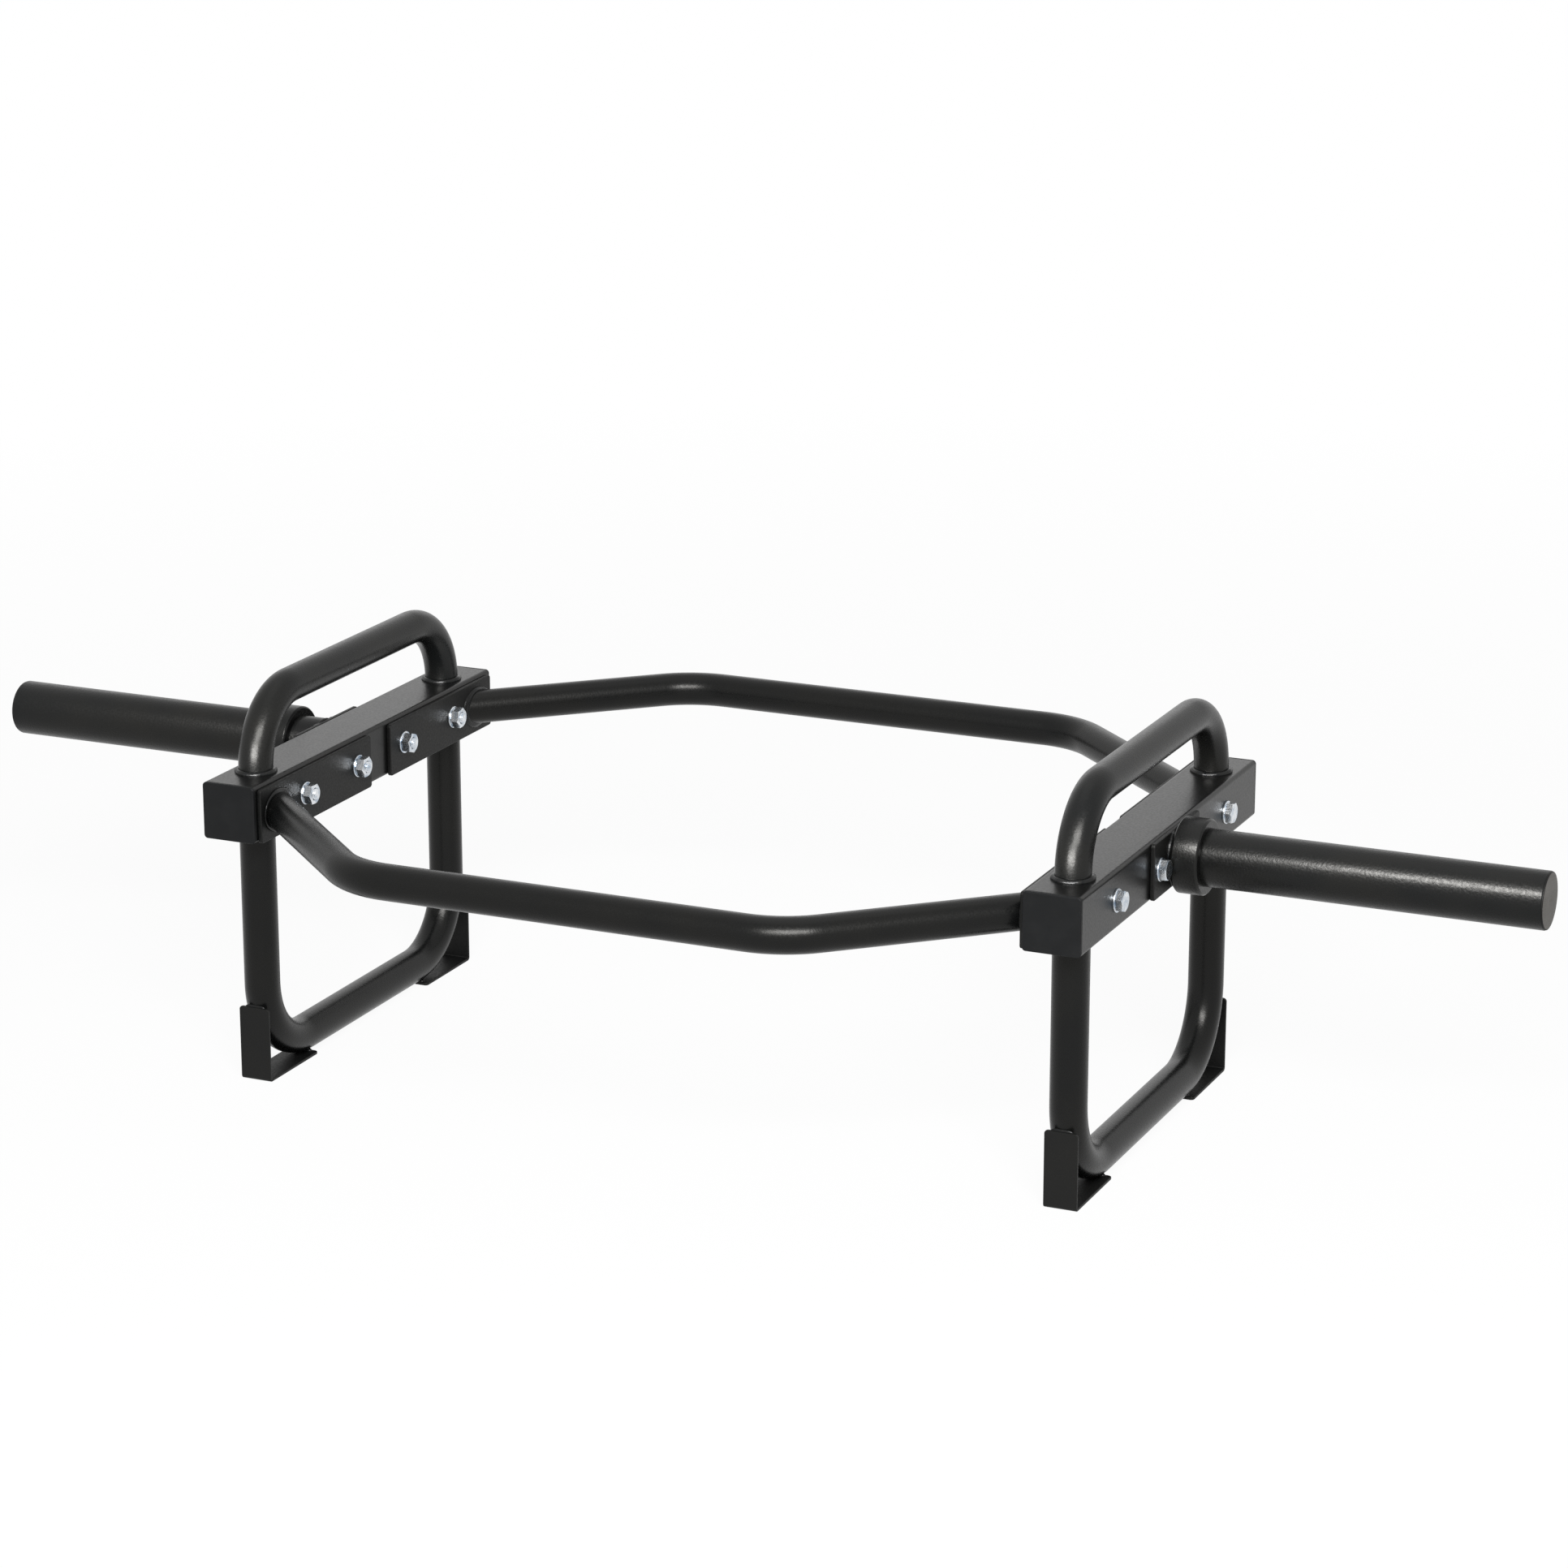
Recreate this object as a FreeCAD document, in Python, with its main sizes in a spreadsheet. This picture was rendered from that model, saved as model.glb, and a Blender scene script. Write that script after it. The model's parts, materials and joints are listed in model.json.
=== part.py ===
"""A hex trap bar: a welded and bolted steel frame that a lifter stands inside and lifts by two handles.

X runs along the weight sleeves, Y from the front to the rear and Z up. The origin lies on the floor,
under the middle of the frame. Every length is in millimetres.
"""

import FreeCAD
import Part
import Sketcher
import math
import os

# Driving dimensions, one cell of the sheet each
SIZES = {
    # Whole frame
    "bar_length": 1479.0,
    "beam_spacing": 771.0,
    "beam_underside": 233.5,
    # Side beams, square tube, length over the end caps
    "beam_length": 444.0,
    "beam_width": 51.5,
    "beam_height": 51.5,
    "beam_wall": 3.0,
    "beam_corner_radius": 3.5,
    "beam_inner_radius": 1.0,
    # Plastic caps in the ends of the side beams
    "cap_flange": 3.0,
    "cap_edge_radius": 1.2,
    "cap_plug_depth": 18.0,
    "cap_plug_wall": 2.5,
    "cap_plug_clearance": 0.2,
    # Handles, rise from the beam to the middle of the grip and straight length of a leg below its bend
    "handle_diameter": 31.0,
    "handle_wall": 2.5,
    "handle_rise": 64.0,
    "handle_leg_spacing": 346.0,
    "handle_leg_length": 2.0,
    # Stands
    "stand_diameter": 32.0,
    "stand_wall": 2.5,
    "stand_leg_spacing": 348.0,
    "stand_bend_radius": 70.0,
    # Feet, bent plate under the corners of the stands
    "foot_thickness": 2.5,
    "foot_width": 30.0,
    "foot_height": 69.0,
    "foot_length": 86.0,
    "foot_bend_radius": 1.0,
    "foot_corner_radius": 3.0,
    "foot_seat_gap": 0.3,
    # Hex tubes, spacings measured between centre lines
    "hex_diameter": 31.4,
    "hex_wall": 2.5,
    "hex_depth": 672.0,
    "hex_corner_spacing": 395.0,
    "hex_end_spacing": 373.0,
    "hex_bend_radius": 81.0,
    "hex_drop": 2.0,
    # Flange plates on the ends of the hex tubes
    "flange_thickness": 4.0,
    "flange_height": 49.0,
    "flange_length": 198.0,
    "flange_gap": 36.0,
    "plate_corner_radius": 3.0,
    # Weight sleeves, their plates, collars and end caps
    "sleeve_diameter": 50.0,
    "sleeve_wall": 3.0,
    "sleeve_rise": 1.7,
    "sleeve_end_chamfer": 0.5,
    "sleeve_plate_thickness": 4.0,
    "sleeve_plate_length": 114.0,
    "sleeve_plate_height": 50.0,
    "collar_diameter": 66.0,
    "collar_length": 24.0,
    "left_collar_stand_off": 24.2,
    "right_collar_stand_off": 4.5,
    "collar_chamfer": 1.5,
    "collar_seat_step": 0.4,
    "collar_clearance": 0.1,
    "sleeve_cap_flange": 1.2,
    "sleeve_cap_inset": 0.5,
    "sleeve_cap_plug_depth": 15.0,
    "sleeve_cap_plug_wall": 2.0,
    "sleeve_cap_clearance": 0.2,
    # Bolts, washers and nuts
    "bolt_outer_spacing": 278.0,
    "bolt_inner_spacing": 87.0,
    "bolt_diameter": 10.0,
    "bolt_hole_diameter": 11.0,
    "bolt_head_flats": 17.0,
    "bolt_head_height": 6.4,
    "bolt_tip": 2.0,
    "thread_clearance": 0.2,
    "washer_diameter": 20.5,
    "washer_thickness": 2.0,
    "nut_flats": 17.0,
    "nut_height": 8.4,
    # Weld beads
    "weld_leg": 3.0,
    "weld_toe": 0.6,
    "weld_clearance": 0.2,
    "foot_weld_radius": 3.0,
    "foot_weld_length": 20.0,
}

# Places worked out from the driving dimensions, as expressions on the sheet
BEAM_X = "(Sizes.beam_spacing / 2)"
BEAM_TOP = "(Sizes.beam_underside + Sizes.beam_height)"
BEAM_MIDDLE = "(Sizes.beam_underside + Sizes.beam_height / 2)"
BEAM_OUTER_FACE = f"({BEAM_X} + Sizes.beam_width / 2)"
BEAM_INNER_FACE = f"({BEAM_X} - Sizes.beam_width / 2)"
BEAM_TUBE_END = "(Sizes.beam_length / 2 - Sizes.cap_flange)"
SLEEVE_PLATE_FACE = f"({BEAM_OUTER_FACE} + Sizes.sleeve_plate_thickness)"
FLANGE_FACE = f"({BEAM_INNER_FACE} - Sizes.flange_thickness)"
FLANGE_MIDDLE = "(Sizes.flange_gap / 2 + Sizes.flange_length / 2)"
SLEEVE_LEVEL = f"({BEAM_MIDDLE} + Sizes.sleeve_rise)"
HEX_LEVEL = f"({BEAM_MIDDLE} - Sizes.hex_drop)"
HANDLE_LEVEL = f"({BEAM_TOP} + Sizes.handle_rise)"
HANDLE_BEND_RADIUS = "(Sizes.handle_rise - Sizes.handle_leg_length)"
STAND_LEVEL = "(Sizes.foot_thickness + Sizes.foot_seat_gap + Sizes.stand_diameter / 2)"

# Centre of a stand's bend, and the outer face of the foot that leans on that bend with its upper edge
BEND_Y = "(Sizes.stand_leg_spacing / 2 - Sizes.stand_bend_radius)"
BEND_Z = f"({STAND_LEVEL} + Sizes.stand_bend_radius)"
BEND_OUTER_RADIUS = "(Sizes.stand_bend_radius + Sizes.stand_diameter / 2)"
FOOT_REACH = f"sqrt({BEND_OUTER_RADIUS}^2 - ({BEND_Z} - Sizes.foot_height)^2)"
FOOT_FACE = f"({BEND_Y} + {FOOT_REACH} + Sizes.foot_seat_gap + Sizes.foot_thickness)"

# Slope of a hex tube's end run against the plate's normal
HEX_END_RUN = f"({FLANGE_FACE} - Sizes.hex_corner_spacing / 2)"
HEX_SLOPE = f"((Sizes.hex_depth - Sizes.hex_end_spacing) / 2 / {HEX_END_RUN})"

# Along a sleeve: root on the plate, faces of the collar, end of the tube
COLLAR_INNER_FACE = {
    "left": f"({SLEEVE_PLATE_FACE} + Sizes.left_collar_stand_off)",
    "right": f"({SLEEVE_PLATE_FACE} + Sizes.right_collar_stand_off)",
}
COLLAR_OUTER_FACE = {side: f"({face} + Sizes.collar_length)" for side, face in COLLAR_INNER_FACE.items()}
SLEEVE_END = "(Sizes.bar_length / 2 - Sizes.sleeve_cap_flange)"
SLEEVE_RADIUS = "(Sizes.sleeve_diameter / 2)"
SLEEVE_ROOT_RADIUS = f"({SLEEVE_RADIUS} - Sizes.collar_seat_step)"
SLEEVE_BORE_RADIUS = f"({SLEEVE_RADIUS} - Sizes.sleeve_wall)"

# Inner seats of the nuts, and bolt places along a beam with the outer surface that each washer lies on
NUT_SEAT = f"({FLANGE_FACE} - Sizes.washer_thickness)"
BOLTS = [
    ("-Sizes.bolt_outer_spacing / 2", BEAM_OUTER_FACE),
    ("-Sizes.bolt_inner_spacing / 2", SLEEVE_PLATE_FACE),
    ("Sizes.bolt_inner_spacing / 2", SLEEVE_PLATE_FACE),
    ("Sizes.bolt_outer_spacing / 2", BEAM_OUTER_FACE),
]

SIDES = [("left", -1), ("right", 1)]
ENDS = [("front", -1), ("rear", 1)]
UP = FreeCAD.Vector(0, 0, 1)
HALF_TURN = 180
# Turns that point an upright solid along +X or -X, or hang it upside down
ALONG_X = {sign: FreeCAD.Rotation(FreeCAD.Vector(0, 1, 0), sign * 90) for sign in (1, -1)}
UPRIGHT = FreeCAD.Rotation()
UPSIDE_DOWN = FreeCAD.Rotation(FreeCAD.Vector(1, 0, 0), HALF_TURN)
# Turn that points an upright solid along +X with its own X axis along Y
ACROSS_X = FreeCAD.Rotation(FreeCAD.Vector(1, 1, 1), 120)

doc = FreeCAD.newDocument("HexTrapBar")
sheet = doc.addObject("Spreadsheet::Sheet", "Sizes")
for row, (alias, value) in enumerate(SIZES.items(), start=1):
    sheet.set(f"A{row}", alias.replace("_", " "))
    sheet.set(f"B{row}", str(value))
    sheet.setAlias(f"B{row}", alias)
doc.recompute()


def number(expression):
    """The present value of an expression on the sheet."""
    return float(sheet.evalExpression(expression))


def bind(item, expressions):
    """Binds properties of a document object to expressions on the sheet."""
    for path, expression in expressions.items():
        item.setExpression(path, expression)


def place(item, x, y, z, rotation):
    """Turns an object by a fixed rotation and binds its position."""
    item.Placement = FreeCAD.Placement(FreeCAD.Vector(), rotation)
    bind(item, {"Placement.Base.x": x, "Placement.Base.y": y, "Placement.Base.z": z})


# Sketches and features


def new_body(label, x="0", y="0", z="0", turn=0):
    """A body at a bound position, turned about the vertical."""
    body = doc.addObject("PartDesign::Body", label)
    place(body, x, y, z, FreeCAD.Rotation(UP, turn))
    return body


def origin_plane(body, role):
    """One of a body's own three origin planes."""
    return next(feature for feature in body.Origin.OriginFeatures if feature.Role == role)


def new_sketch(body, role, name):
    """An empty sketch on an origin plane of its body."""
    sketch = body.newObject("Sketcher::SketchObject", name)
    sketch.AttachmentSupport = [(origin_plane(body, role), "")]
    sketch.MapMode = "FlatFace"
    return sketch


def dimension(sketch, expression, kind, *where):
    """Adds a dimension to a sketch and binds it to the sheet."""
    index = sketch.addConstraint(Sketcher.Constraint(kind, *where, number(expression)))
    sketch.setExpression(f"Constraints[{index}]", expression)


def locate(sketch, index, point, x, y):
    """Binds both coordinates of a sketch point, measured from the sketch's origin."""
    for kind, axis, expression in (("DistanceX", -2, x), ("DistanceY", -1, y)):
        if number(expression) == 0:
            sketch.addConstraint(Sketcher.Constraint("PointOnObject", index, point, axis))
        elif number(expression) > 0:
            dimension(sketch, expression, kind, -1, 1, index, point)
        else:
            dimension(sketch, f"-({expression})", kind, index, point, -1, 1)


def polygon(sketch, corners):
    """A closed outline of straight lines through corners given as pairs of expressions."""
    first = sketch.GeometryCount
    points = [FreeCAD.Vector(number(x), number(y), 0) for x, y in corners]
    for start, end in zip(points, points[1:] + points[:1]):
        sketch.addGeometry(Part.LineSegment(start, end), False)
    for count, (x, y) in enumerate(corners):
        before = first + (count - 1) % len(corners)
        sketch.addConstraint(Sketcher.Constraint("Coincident", before, 2, first + count, 1))
        locate(sketch, first + count, 1, x, y)


def circle(sketch, x, y, diameter):
    """A circle at a bound place."""
    centre = FreeCAD.Vector(number(x), number(y), 0)
    index = sketch.addGeometry(Part.Circle(centre, UP, number(diameter) / 2), False)
    locate(sketch, index, 3, x, y)
    dimension(sketch, diameter, "Diameter", index)


def rounded_rectangle(sketch, width, height, radius):
    """A rectangle about the sketch's origin with four equal round corners."""
    first = sketch.GeometryCount
    right = number(width) / 2
    top = number(height) / 2
    corner = number(radius)
    # Each side runs to the arc after it, counter-clockwise from the bottom
    sides = [
        ((corner - right, -top), (right - corner, -top), (right - corner, corner - top)),
        ((right, corner - top), (right, top - corner), (right - corner, top - corner)),
        ((right - corner, top), (corner - right, top), (corner - right, top - corner)),
        ((-right, top - corner), (-right, corner - top), (corner - right, corner - top)),
    ]
    for count, (start, end, centre) in enumerate(sides):
        sketch.addGeometry(Part.LineSegment(FreeCAD.Vector(*start, 0), FreeCAD.Vector(*end, 0)), False)
        arc = Part.Circle(FreeCAD.Vector(*centre, 0), UP, corner)
        begin = (count - 1) * math.pi / 2
        sketch.addGeometry(Part.ArcOfCircle(arc, begin, begin + math.pi / 2), False)
    for count in range(len(sides)):
        line = first + 2 * count
        following = first + (2 * count + 2) % (2 * len(sides))
        sketch.addConstraint(Sketcher.Constraint("Tangent", line, 2, line + 1, 1))
        sketch.addConstraint(Sketcher.Constraint("Tangent", line + 1, 2, following, 1))
        sketch.addConstraint(Sketcher.Constraint("Vertical" if count % 2 else "Horizontal", line))
        if count:
            sketch.addConstraint(Sketcher.Constraint("Equal", first + 1, line + 1))
    sketch.addConstraint(Sketcher.Constraint("Symmetric", first + 1, 3, first + 5, 3, -1, 1))
    dimension(sketch, width, "DistanceX", first + 6, 1, first + 2, 1)
    dimension(sketch, height, "DistanceY", first, 1, first + 4, 1)
    dimension(sketch, radius, "Radius", first + 1)


def pad(body, sketch, length, side_type="One side", reverse=False):
    """Pads a sketch by a bound length."""
    feature = body.newObject("PartDesign::Pad", "Pad")
    feature.Profile = sketch
    feature.SideType = side_type
    feature.Reversed = reverse
    bind(feature, {"Length": length})
    return feature


def cut_through(body, sketch):
    """Cuts a sketch right through its body, both ways, and makes sure that it took something away."""
    doc.recompute()
    before = body.Shape.Volume
    feature = body.newObject("PartDesign::Pocket", "Pocket")
    feature.Profile = sketch
    feature.SideType = "Symmetric"
    feature.Type = "ThroughAll"
    doc.recompute()
    if body.Shape.Volume >= before:
        raise RuntimeError(f"{body.Label}: {sketch.Label} cuts nothing")
    return feature


def revolve(body, sketch):
    """Turns a sketch round its horizontal axis."""
    feature = body.newObject("PartDesign::Revolution", "Revolution")
    feature.Profile = sketch
    feature.ReferenceAxis = (sketch, ["H_Axis"])
    return feature


def sweep(body, profile, path):
    """Carries a profile along a path of tangent lines and arcs."""
    feature = body.newObject("PartDesign::AdditivePipe", "Pipe")
    feature.Profile = profile
    feature.Spine = (path, [f"Edge{count + 1}" for count in range(len(path.Shape.Edges))])
    return feature


def mirror(body, features, role):
    """Mirrors features in an origin plane of their body."""
    feature = body.newObject("PartDesign::Mirrored", "Mirrored")
    feature.Originals = features
    feature.MirrorPlane = (origin_plane(body, role), [""])
    body.Tip = feature


def round_edges(body, chosen, radius):
    """Rounds the edges of a body that pass a test."""
    doc.recompute()
    base = body.Tip
    names = [f"Edge{count}" for count, edge in enumerate(base.Shape.Edges, start=1) if chosen(edge)]
    if not names:
        raise RuntimeError(f"{body.Label}: no edge to round")
    feature = body.newObject("PartDesign::Fillet", "Fillet")
    feature.Base = (base, names)
    bind(feature, {"Radius": radius})


def near(first, second):
    """Whether two lengths agree to within a small share of the thinnest plate."""
    agreement_share = 0.001
    return abs(first - second) < agreement_share * number("Sizes.foot_thickness")


# Solids and groups


def solid(kind, name, expressions, x, y, z, rotation):
    """A plain solid with bound sizes at a bound place."""
    item = doc.addObject(f"Part::{kind}", name)
    place(item, x, y, z, rotation)
    bind(item, expressions)
    return item


def difference(name, base, tool):
    """One solid less another."""
    item = doc.addObject("Part::Cut", name)
    item.Base = base
    item.Tool = tool
    return item


def union(name, base, tool):
    """Two solids joined in one."""
    item = doc.addObject("Part::Fuse", name)
    item.Base = base
    item.Tool = tool
    item.Refine = True
    return item


def group(label, members):
    """Separate solids that share one node."""
    item = doc.addObject("Part::Compound", label)
    item.Links = members
    return item


def loft(name, sections):
    """A solid through two flat sections."""
    item = doc.addObject("Part::Loft", name)
    item.Sections = sections
    item.Solid = True
    item.Ruled = True
    return item


# Side beams


def make_side_beam(side, sign):
    """Square tube with four bolt holes through both walls."""
    beam = new_body(f"{side}_side_beam", x=f"{sign} * {BEAM_X}", z=BEAM_MIDDLE)
    profile = new_sketch(beam, "XZ_Plane", "BeamProfile")
    rounded_rectangle(profile, "Sizes.beam_width", "Sizes.beam_height", "Sizes.beam_corner_radius")
    rounded_rectangle(
        profile,
        "Sizes.beam_width - 2 * Sizes.beam_wall",
        "Sizes.beam_height - 2 * Sizes.beam_wall",
        "Sizes.beam_inner_radius",
    )
    pad(beam, profile, f"2 * {BEAM_TUBE_END}", "Symmetric")
    holes = new_sketch(beam, "YZ_Plane", "BoltHoles")
    for bolt_y, _ in BOLTS:
        circle(holes, bolt_y, "0", "Sizes.bolt_hole_diameter")
    cut_through(beam, holes)
    return beam


def make_beam_cap(side, sign, end, direction):
    """Plug with a flange that carries the beam's outline on to a rounded end face."""
    cap = new_body(
        f"{side}_{end}_beam_cap",
        x=f"{sign} * {BEAM_X}",
        y=f"{direction} * {BEAM_TUBE_END}",
        z=BEAM_MIDDLE,
        turn=0 if end == "front" else HALF_TURN,
    )
    plug_inset = "2 * (Sizes.beam_wall + Sizes.cap_plug_clearance)"
    plug = new_sketch(cap, "XZ_Plane", "PlugProfile")
    rounded_rectangle(
        plug,
        f"Sizes.beam_width - {plug_inset}",
        f"Sizes.beam_height - {plug_inset}",
        "Sizes.beam_inner_radius",
    )
    polygon(plug, square_hollow(f"{plug_inset} + 2 * Sizes.cap_plug_wall"))
    flange = new_sketch(cap, "XZ_Plane", "FlangeProfile")
    rounded_rectangle(flange, "Sizes.beam_width", "Sizes.beam_height", "Sizes.beam_corner_radius")
    pad(cap, flange, "Sizes.cap_flange")
    pad(cap, plug, "Sizes.cap_plug_depth", reverse=True)
    end_face = -number("Sizes.cap_flange")
    round_edges(cap, lambda edge: near(edge.BoundBox.YMax, end_face), "Sizes.cap_edge_radius")
    return cap


def square_hollow(inset):
    """Corners of the opening in a plug, smaller than the beam by an inset."""
    right = f"(Sizes.beam_width - ({inset})) / 2"
    top = f"(Sizes.beam_height - ({inset})) / 2"
    return [(f"-{right}", f"-{top}"), (right, f"-{top}"), (right, top), (f"-{right}", top)]


# Handles and stands, bent from round tube in the beam's upright plane


def make_u_tube(side, sign, tube, run, end, bend, legs_rise):
    """Tube with a level run and two legs, swept as one half and mirrored.

    run and end are the heights of the run's centre line and of the legs' ends, bend is the
    radius between them, and tube starts the names of its diameter, wall and leg spacing.
    """
    body = new_body(f"{side}_{tube}", x=f"{sign} * {BEAM_X}")
    diameter, wall, leg_spacing = (f"Sizes.{tube}_{name}" for name in ("diameter", "wall", "leg_spacing"))
    profile = new_sketch(body, "XZ_Plane", "TubeProfile")
    circle(profile, "0", run, diameter)
    circle(profile, "0", run, f"{diameter} - 2 * {wall}")

    path = new_sketch(body, "YZ_Plane", "TubePath")
    rise = 1 if legs_rise else -1
    leg_y = number(leg_spacing) / 2
    radius = number(bend)
    level = number(run)
    centre = FreeCAD.Vector(leg_y - radius, level + rise * radius, 0)
    begin = -math.pi / 2 if legs_rise else 0
    middle = FreeCAD.Vector(0, level, 0)
    run_end = FreeCAD.Vector(centre.x, level, 0)
    leg_start = FreeCAD.Vector(leg_y, centre.y, 0)
    leg_end = FreeCAD.Vector(leg_y, number(end), 0)
    arc = Part.ArcOfCircle(Part.Circle(centre, UP, radius), begin, begin + math.pi / 2)
    path.addGeometry(Part.LineSegment(middle, run_end), False)
    path.addGeometry(arc, False)
    path.addGeometry(Part.LineSegment(leg_start, leg_end), False)
    arc_at_run, arc_at_leg = (1, 2) if legs_rise else (2, 1)
    path.addConstraint(Sketcher.Constraint("Tangent", 0, 2, 1, arc_at_run))
    path.addConstraint(Sketcher.Constraint("Tangent", 1, arc_at_leg, 2, 1))
    path.addConstraint(Sketcher.Constraint("Horizontal", 0))
    path.addConstraint(Sketcher.Constraint("Vertical", 2))
    locate(path, 0, 1, "0", run)
    locate(path, 2, 2, f"{leg_spacing} / 2", end)
    dimension(path, bend, "Radius", 1)
    doc.recompute()
    mirror(body, [sweep(body, profile, path)], "XZ_Plane")
    return body


def make_handle(side, sign):
    """U-bent grip tube that stands on the beam."""
    return make_u_tube(side, sign, "handle", HANDLE_LEVEL, BEAM_TOP, HANDLE_BEND_RADIUS, legs_rise=False)


def make_stand(side, sign):
    """U-bent tube that hangs under the beam and carries the frame on its feet."""
    end = "Sizes.beam_underside"
    return make_u_tube(side, sign, "stand", STAND_LEVEL, end, "Sizes.stand_bend_radius", legs_rise=True)


# Feet


def make_foot(side, sign, end):
    """L-shaped plate, bent once, with rounded free corners. It is drawn as a front foot."""
    turn = 0 if end == "front" else HALF_TURN
    foot = new_body(f"{side}_{end}_foot", x=f"{sign} * {BEAM_X}", turn=turn)
    thickness = "Sizes.foot_thickness"
    inner = f"({thickness} - {FOOT_FACE})"
    tail = f"(Sizes.foot_length - {FOOT_FACE})"
    outline = new_sketch(foot, "YZ_Plane", "FootOutline")
    polygon(
        outline,
        [
            (f"-{FOOT_FACE}", "0"),
            (tail, "0"),
            (tail, thickness),
            (inner, thickness),
            (inner, "Sizes.foot_height"),
            (f"-{FOOT_FACE}", "Sizes.foot_height"),
        ],
    )
    pad(foot, outline, "Sizes.foot_width", "Symmetric")
    width = number("Sizes.foot_width")

    def along_bend(y, z):
        """A test for the edge across the foot at one place."""

        def test(edge):
            box = edge.BoundBox
            return near(box.XLength, width) and near(box.YMin, y) and near(box.ZMin, z)

        return test

    def at_free_end(edge):
        """Whether an edge runs through the plate at one of its free corners."""
        box = edge.BoundBox
        upper = near(box.ZMin, number("Sizes.foot_height")) and near(box.YLength, number(thickness))
        lower = near(box.YMin, number(tail)) and near(box.ZLength, number(thickness))
        return upper or lower

    round_edges(foot, along_bend(number(inner), number(thickness)), "Sizes.foot_bend_radius")
    round_edges(foot, along_bend(-number(FOOT_FACE), 0), f"Sizes.foot_bend_radius + {thickness}")
    round_edges(foot, at_free_end, "Sizes.foot_corner_radius")
    return foot


# Hex tubes and their flange plates


def make_hex_tube(end):
    """Half hexagon of round tube with its ends cut flat for the plates. It is drawn as the front one."""
    tube = new_body(f"{end}_hex_tube", z=HEX_LEVEL, turn=0 if end == "front" else HALF_TURN)
    run = "-Sizes.hex_depth / 2"
    profile = new_sketch(tube, "YZ_Plane", "TubeProfile")
    circle(profile, run, "0", "Sizes.hex_diameter")
    circle(profile, run, "0", "Sizes.hex_diameter - 2 * Sizes.hex_wall")

    path = new_sketch(tube, "XY_Plane", "TubePath")
    beyond = f"{FLANGE_FACE} + Sizes.hex_diameter"
    corner = FreeCAD.Vector(number("Sizes.hex_corner_spacing / 2"), number(run), 0)
    meeting = FreeCAD.Vector(number(FLANGE_FACE), number("-Sizes.hex_end_spacing / 2"), 0)
    radius = number("Sizes.hex_bend_radius")
    turn = math.atan(number(HEX_SLOPE))
    along = FreeCAD.Vector(math.cos(turn), math.sin(turn), 0)
    cut_back = radius * math.tan(turn / 2)
    arc_start = corner - FreeCAD.Vector(cut_back, 0, 0)
    centre = arc_start + FreeCAD.Vector(0, radius, 0)
    arc = Part.ArcOfCircle(Part.Circle(centre, UP, radius), -math.pi / 2, turn - math.pi / 2)
    tip = meeting + along * (number("Sizes.hex_diameter") / math.cos(turn))
    path.addGeometry(Part.LineSegment(FreeCAD.Vector(0, corner.y, 0), arc_start), False)
    path.addGeometry(arc, False)
    path.addGeometry(Part.LineSegment(corner + along * cut_back, tip), False)
    # The corner where the straight runs would meet, and the middle of the end on the plate
    path.addGeometry(Part.Point(corner), True)
    path.addGeometry(Part.Point(meeting), True)
    path.addConstraint(Sketcher.Constraint("Tangent", 0, 2, 1, 1))
    path.addConstraint(Sketcher.Constraint("Tangent", 1, 2, 2, 1))
    path.addConstraint(Sketcher.Constraint("Horizontal", 0))
    locate(path, 0, 1, "0", run)
    path.addConstraint(Sketcher.Constraint("PointOnObject", 3, 1, 0))
    path.addConstraint(Sketcher.Constraint("PointOnObject", 3, 1, 2))
    path.addConstraint(Sketcher.Constraint("PointOnObject", 4, 1, 2))
    dimension(path, "Sizes.hex_corner_spacing / 2", "DistanceX", -1, 1, 3, 1)
    locate(path, 4, 1, FLANGE_FACE, "-Sizes.hex_end_spacing / 2")
    dimension(path, beyond, "DistanceX", -1, 1, 2, 2)
    dimension(path, "Sizes.hex_bend_radius", "Radius", 1)
    doc.recompute()
    pipe = sweep(tube, profile, path)

    trim = new_sketch(tube, "XY_Plane", "EndTrim")
    far = f"{beyond} + Sizes.hex_diameter"
    polygon(trim, [(FLANGE_FACE, run), (far, run), (far, "0"), (FLANGE_FACE, "0")])
    mirror(tube, [pipe, cut_through(tube, trim)], "YZ_Plane")
    return tube


def make_flange_plate(end, direction, side, sign):
    """Plate on the beam's inner face that carries one end of a hex tube."""
    plate = new_body(
        f"{end}_{side}_flange_plate",
        x=FLANGE_FACE if sign > 0 else f"-{BEAM_INNER_FACE}",
        y=f"{direction} * {FLANGE_MIDDLE}",
        z=HEX_LEVEL,
    )
    outline = new_sketch(plate, "YZ_Plane", "PlateOutline")
    rounded_rectangle(outline, "Sizes.flange_length", "Sizes.flange_height", "Sizes.plate_corner_radius")
    for spacing in ("Sizes.bolt_outer_spacing", "Sizes.bolt_inner_spacing"):
        bolt_y = f"{direction} * ({spacing} / 2 - {FLANGE_MIDDLE})"
        circle(outline, bolt_y, "Sizes.hex_drop", "Sizes.bolt_hole_diameter")
    pad(plate, outline, "Sizes.flange_thickness")
    return plate


# Weight sleeves. They are drawn along +X and turned for the left side


def new_sleeve_body(label, sign):
    """A body on a sleeve's axis."""
    return new_body(label, z=SLEEVE_LEVEL, turn=0 if sign > 0 else HALF_TURN)


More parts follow.
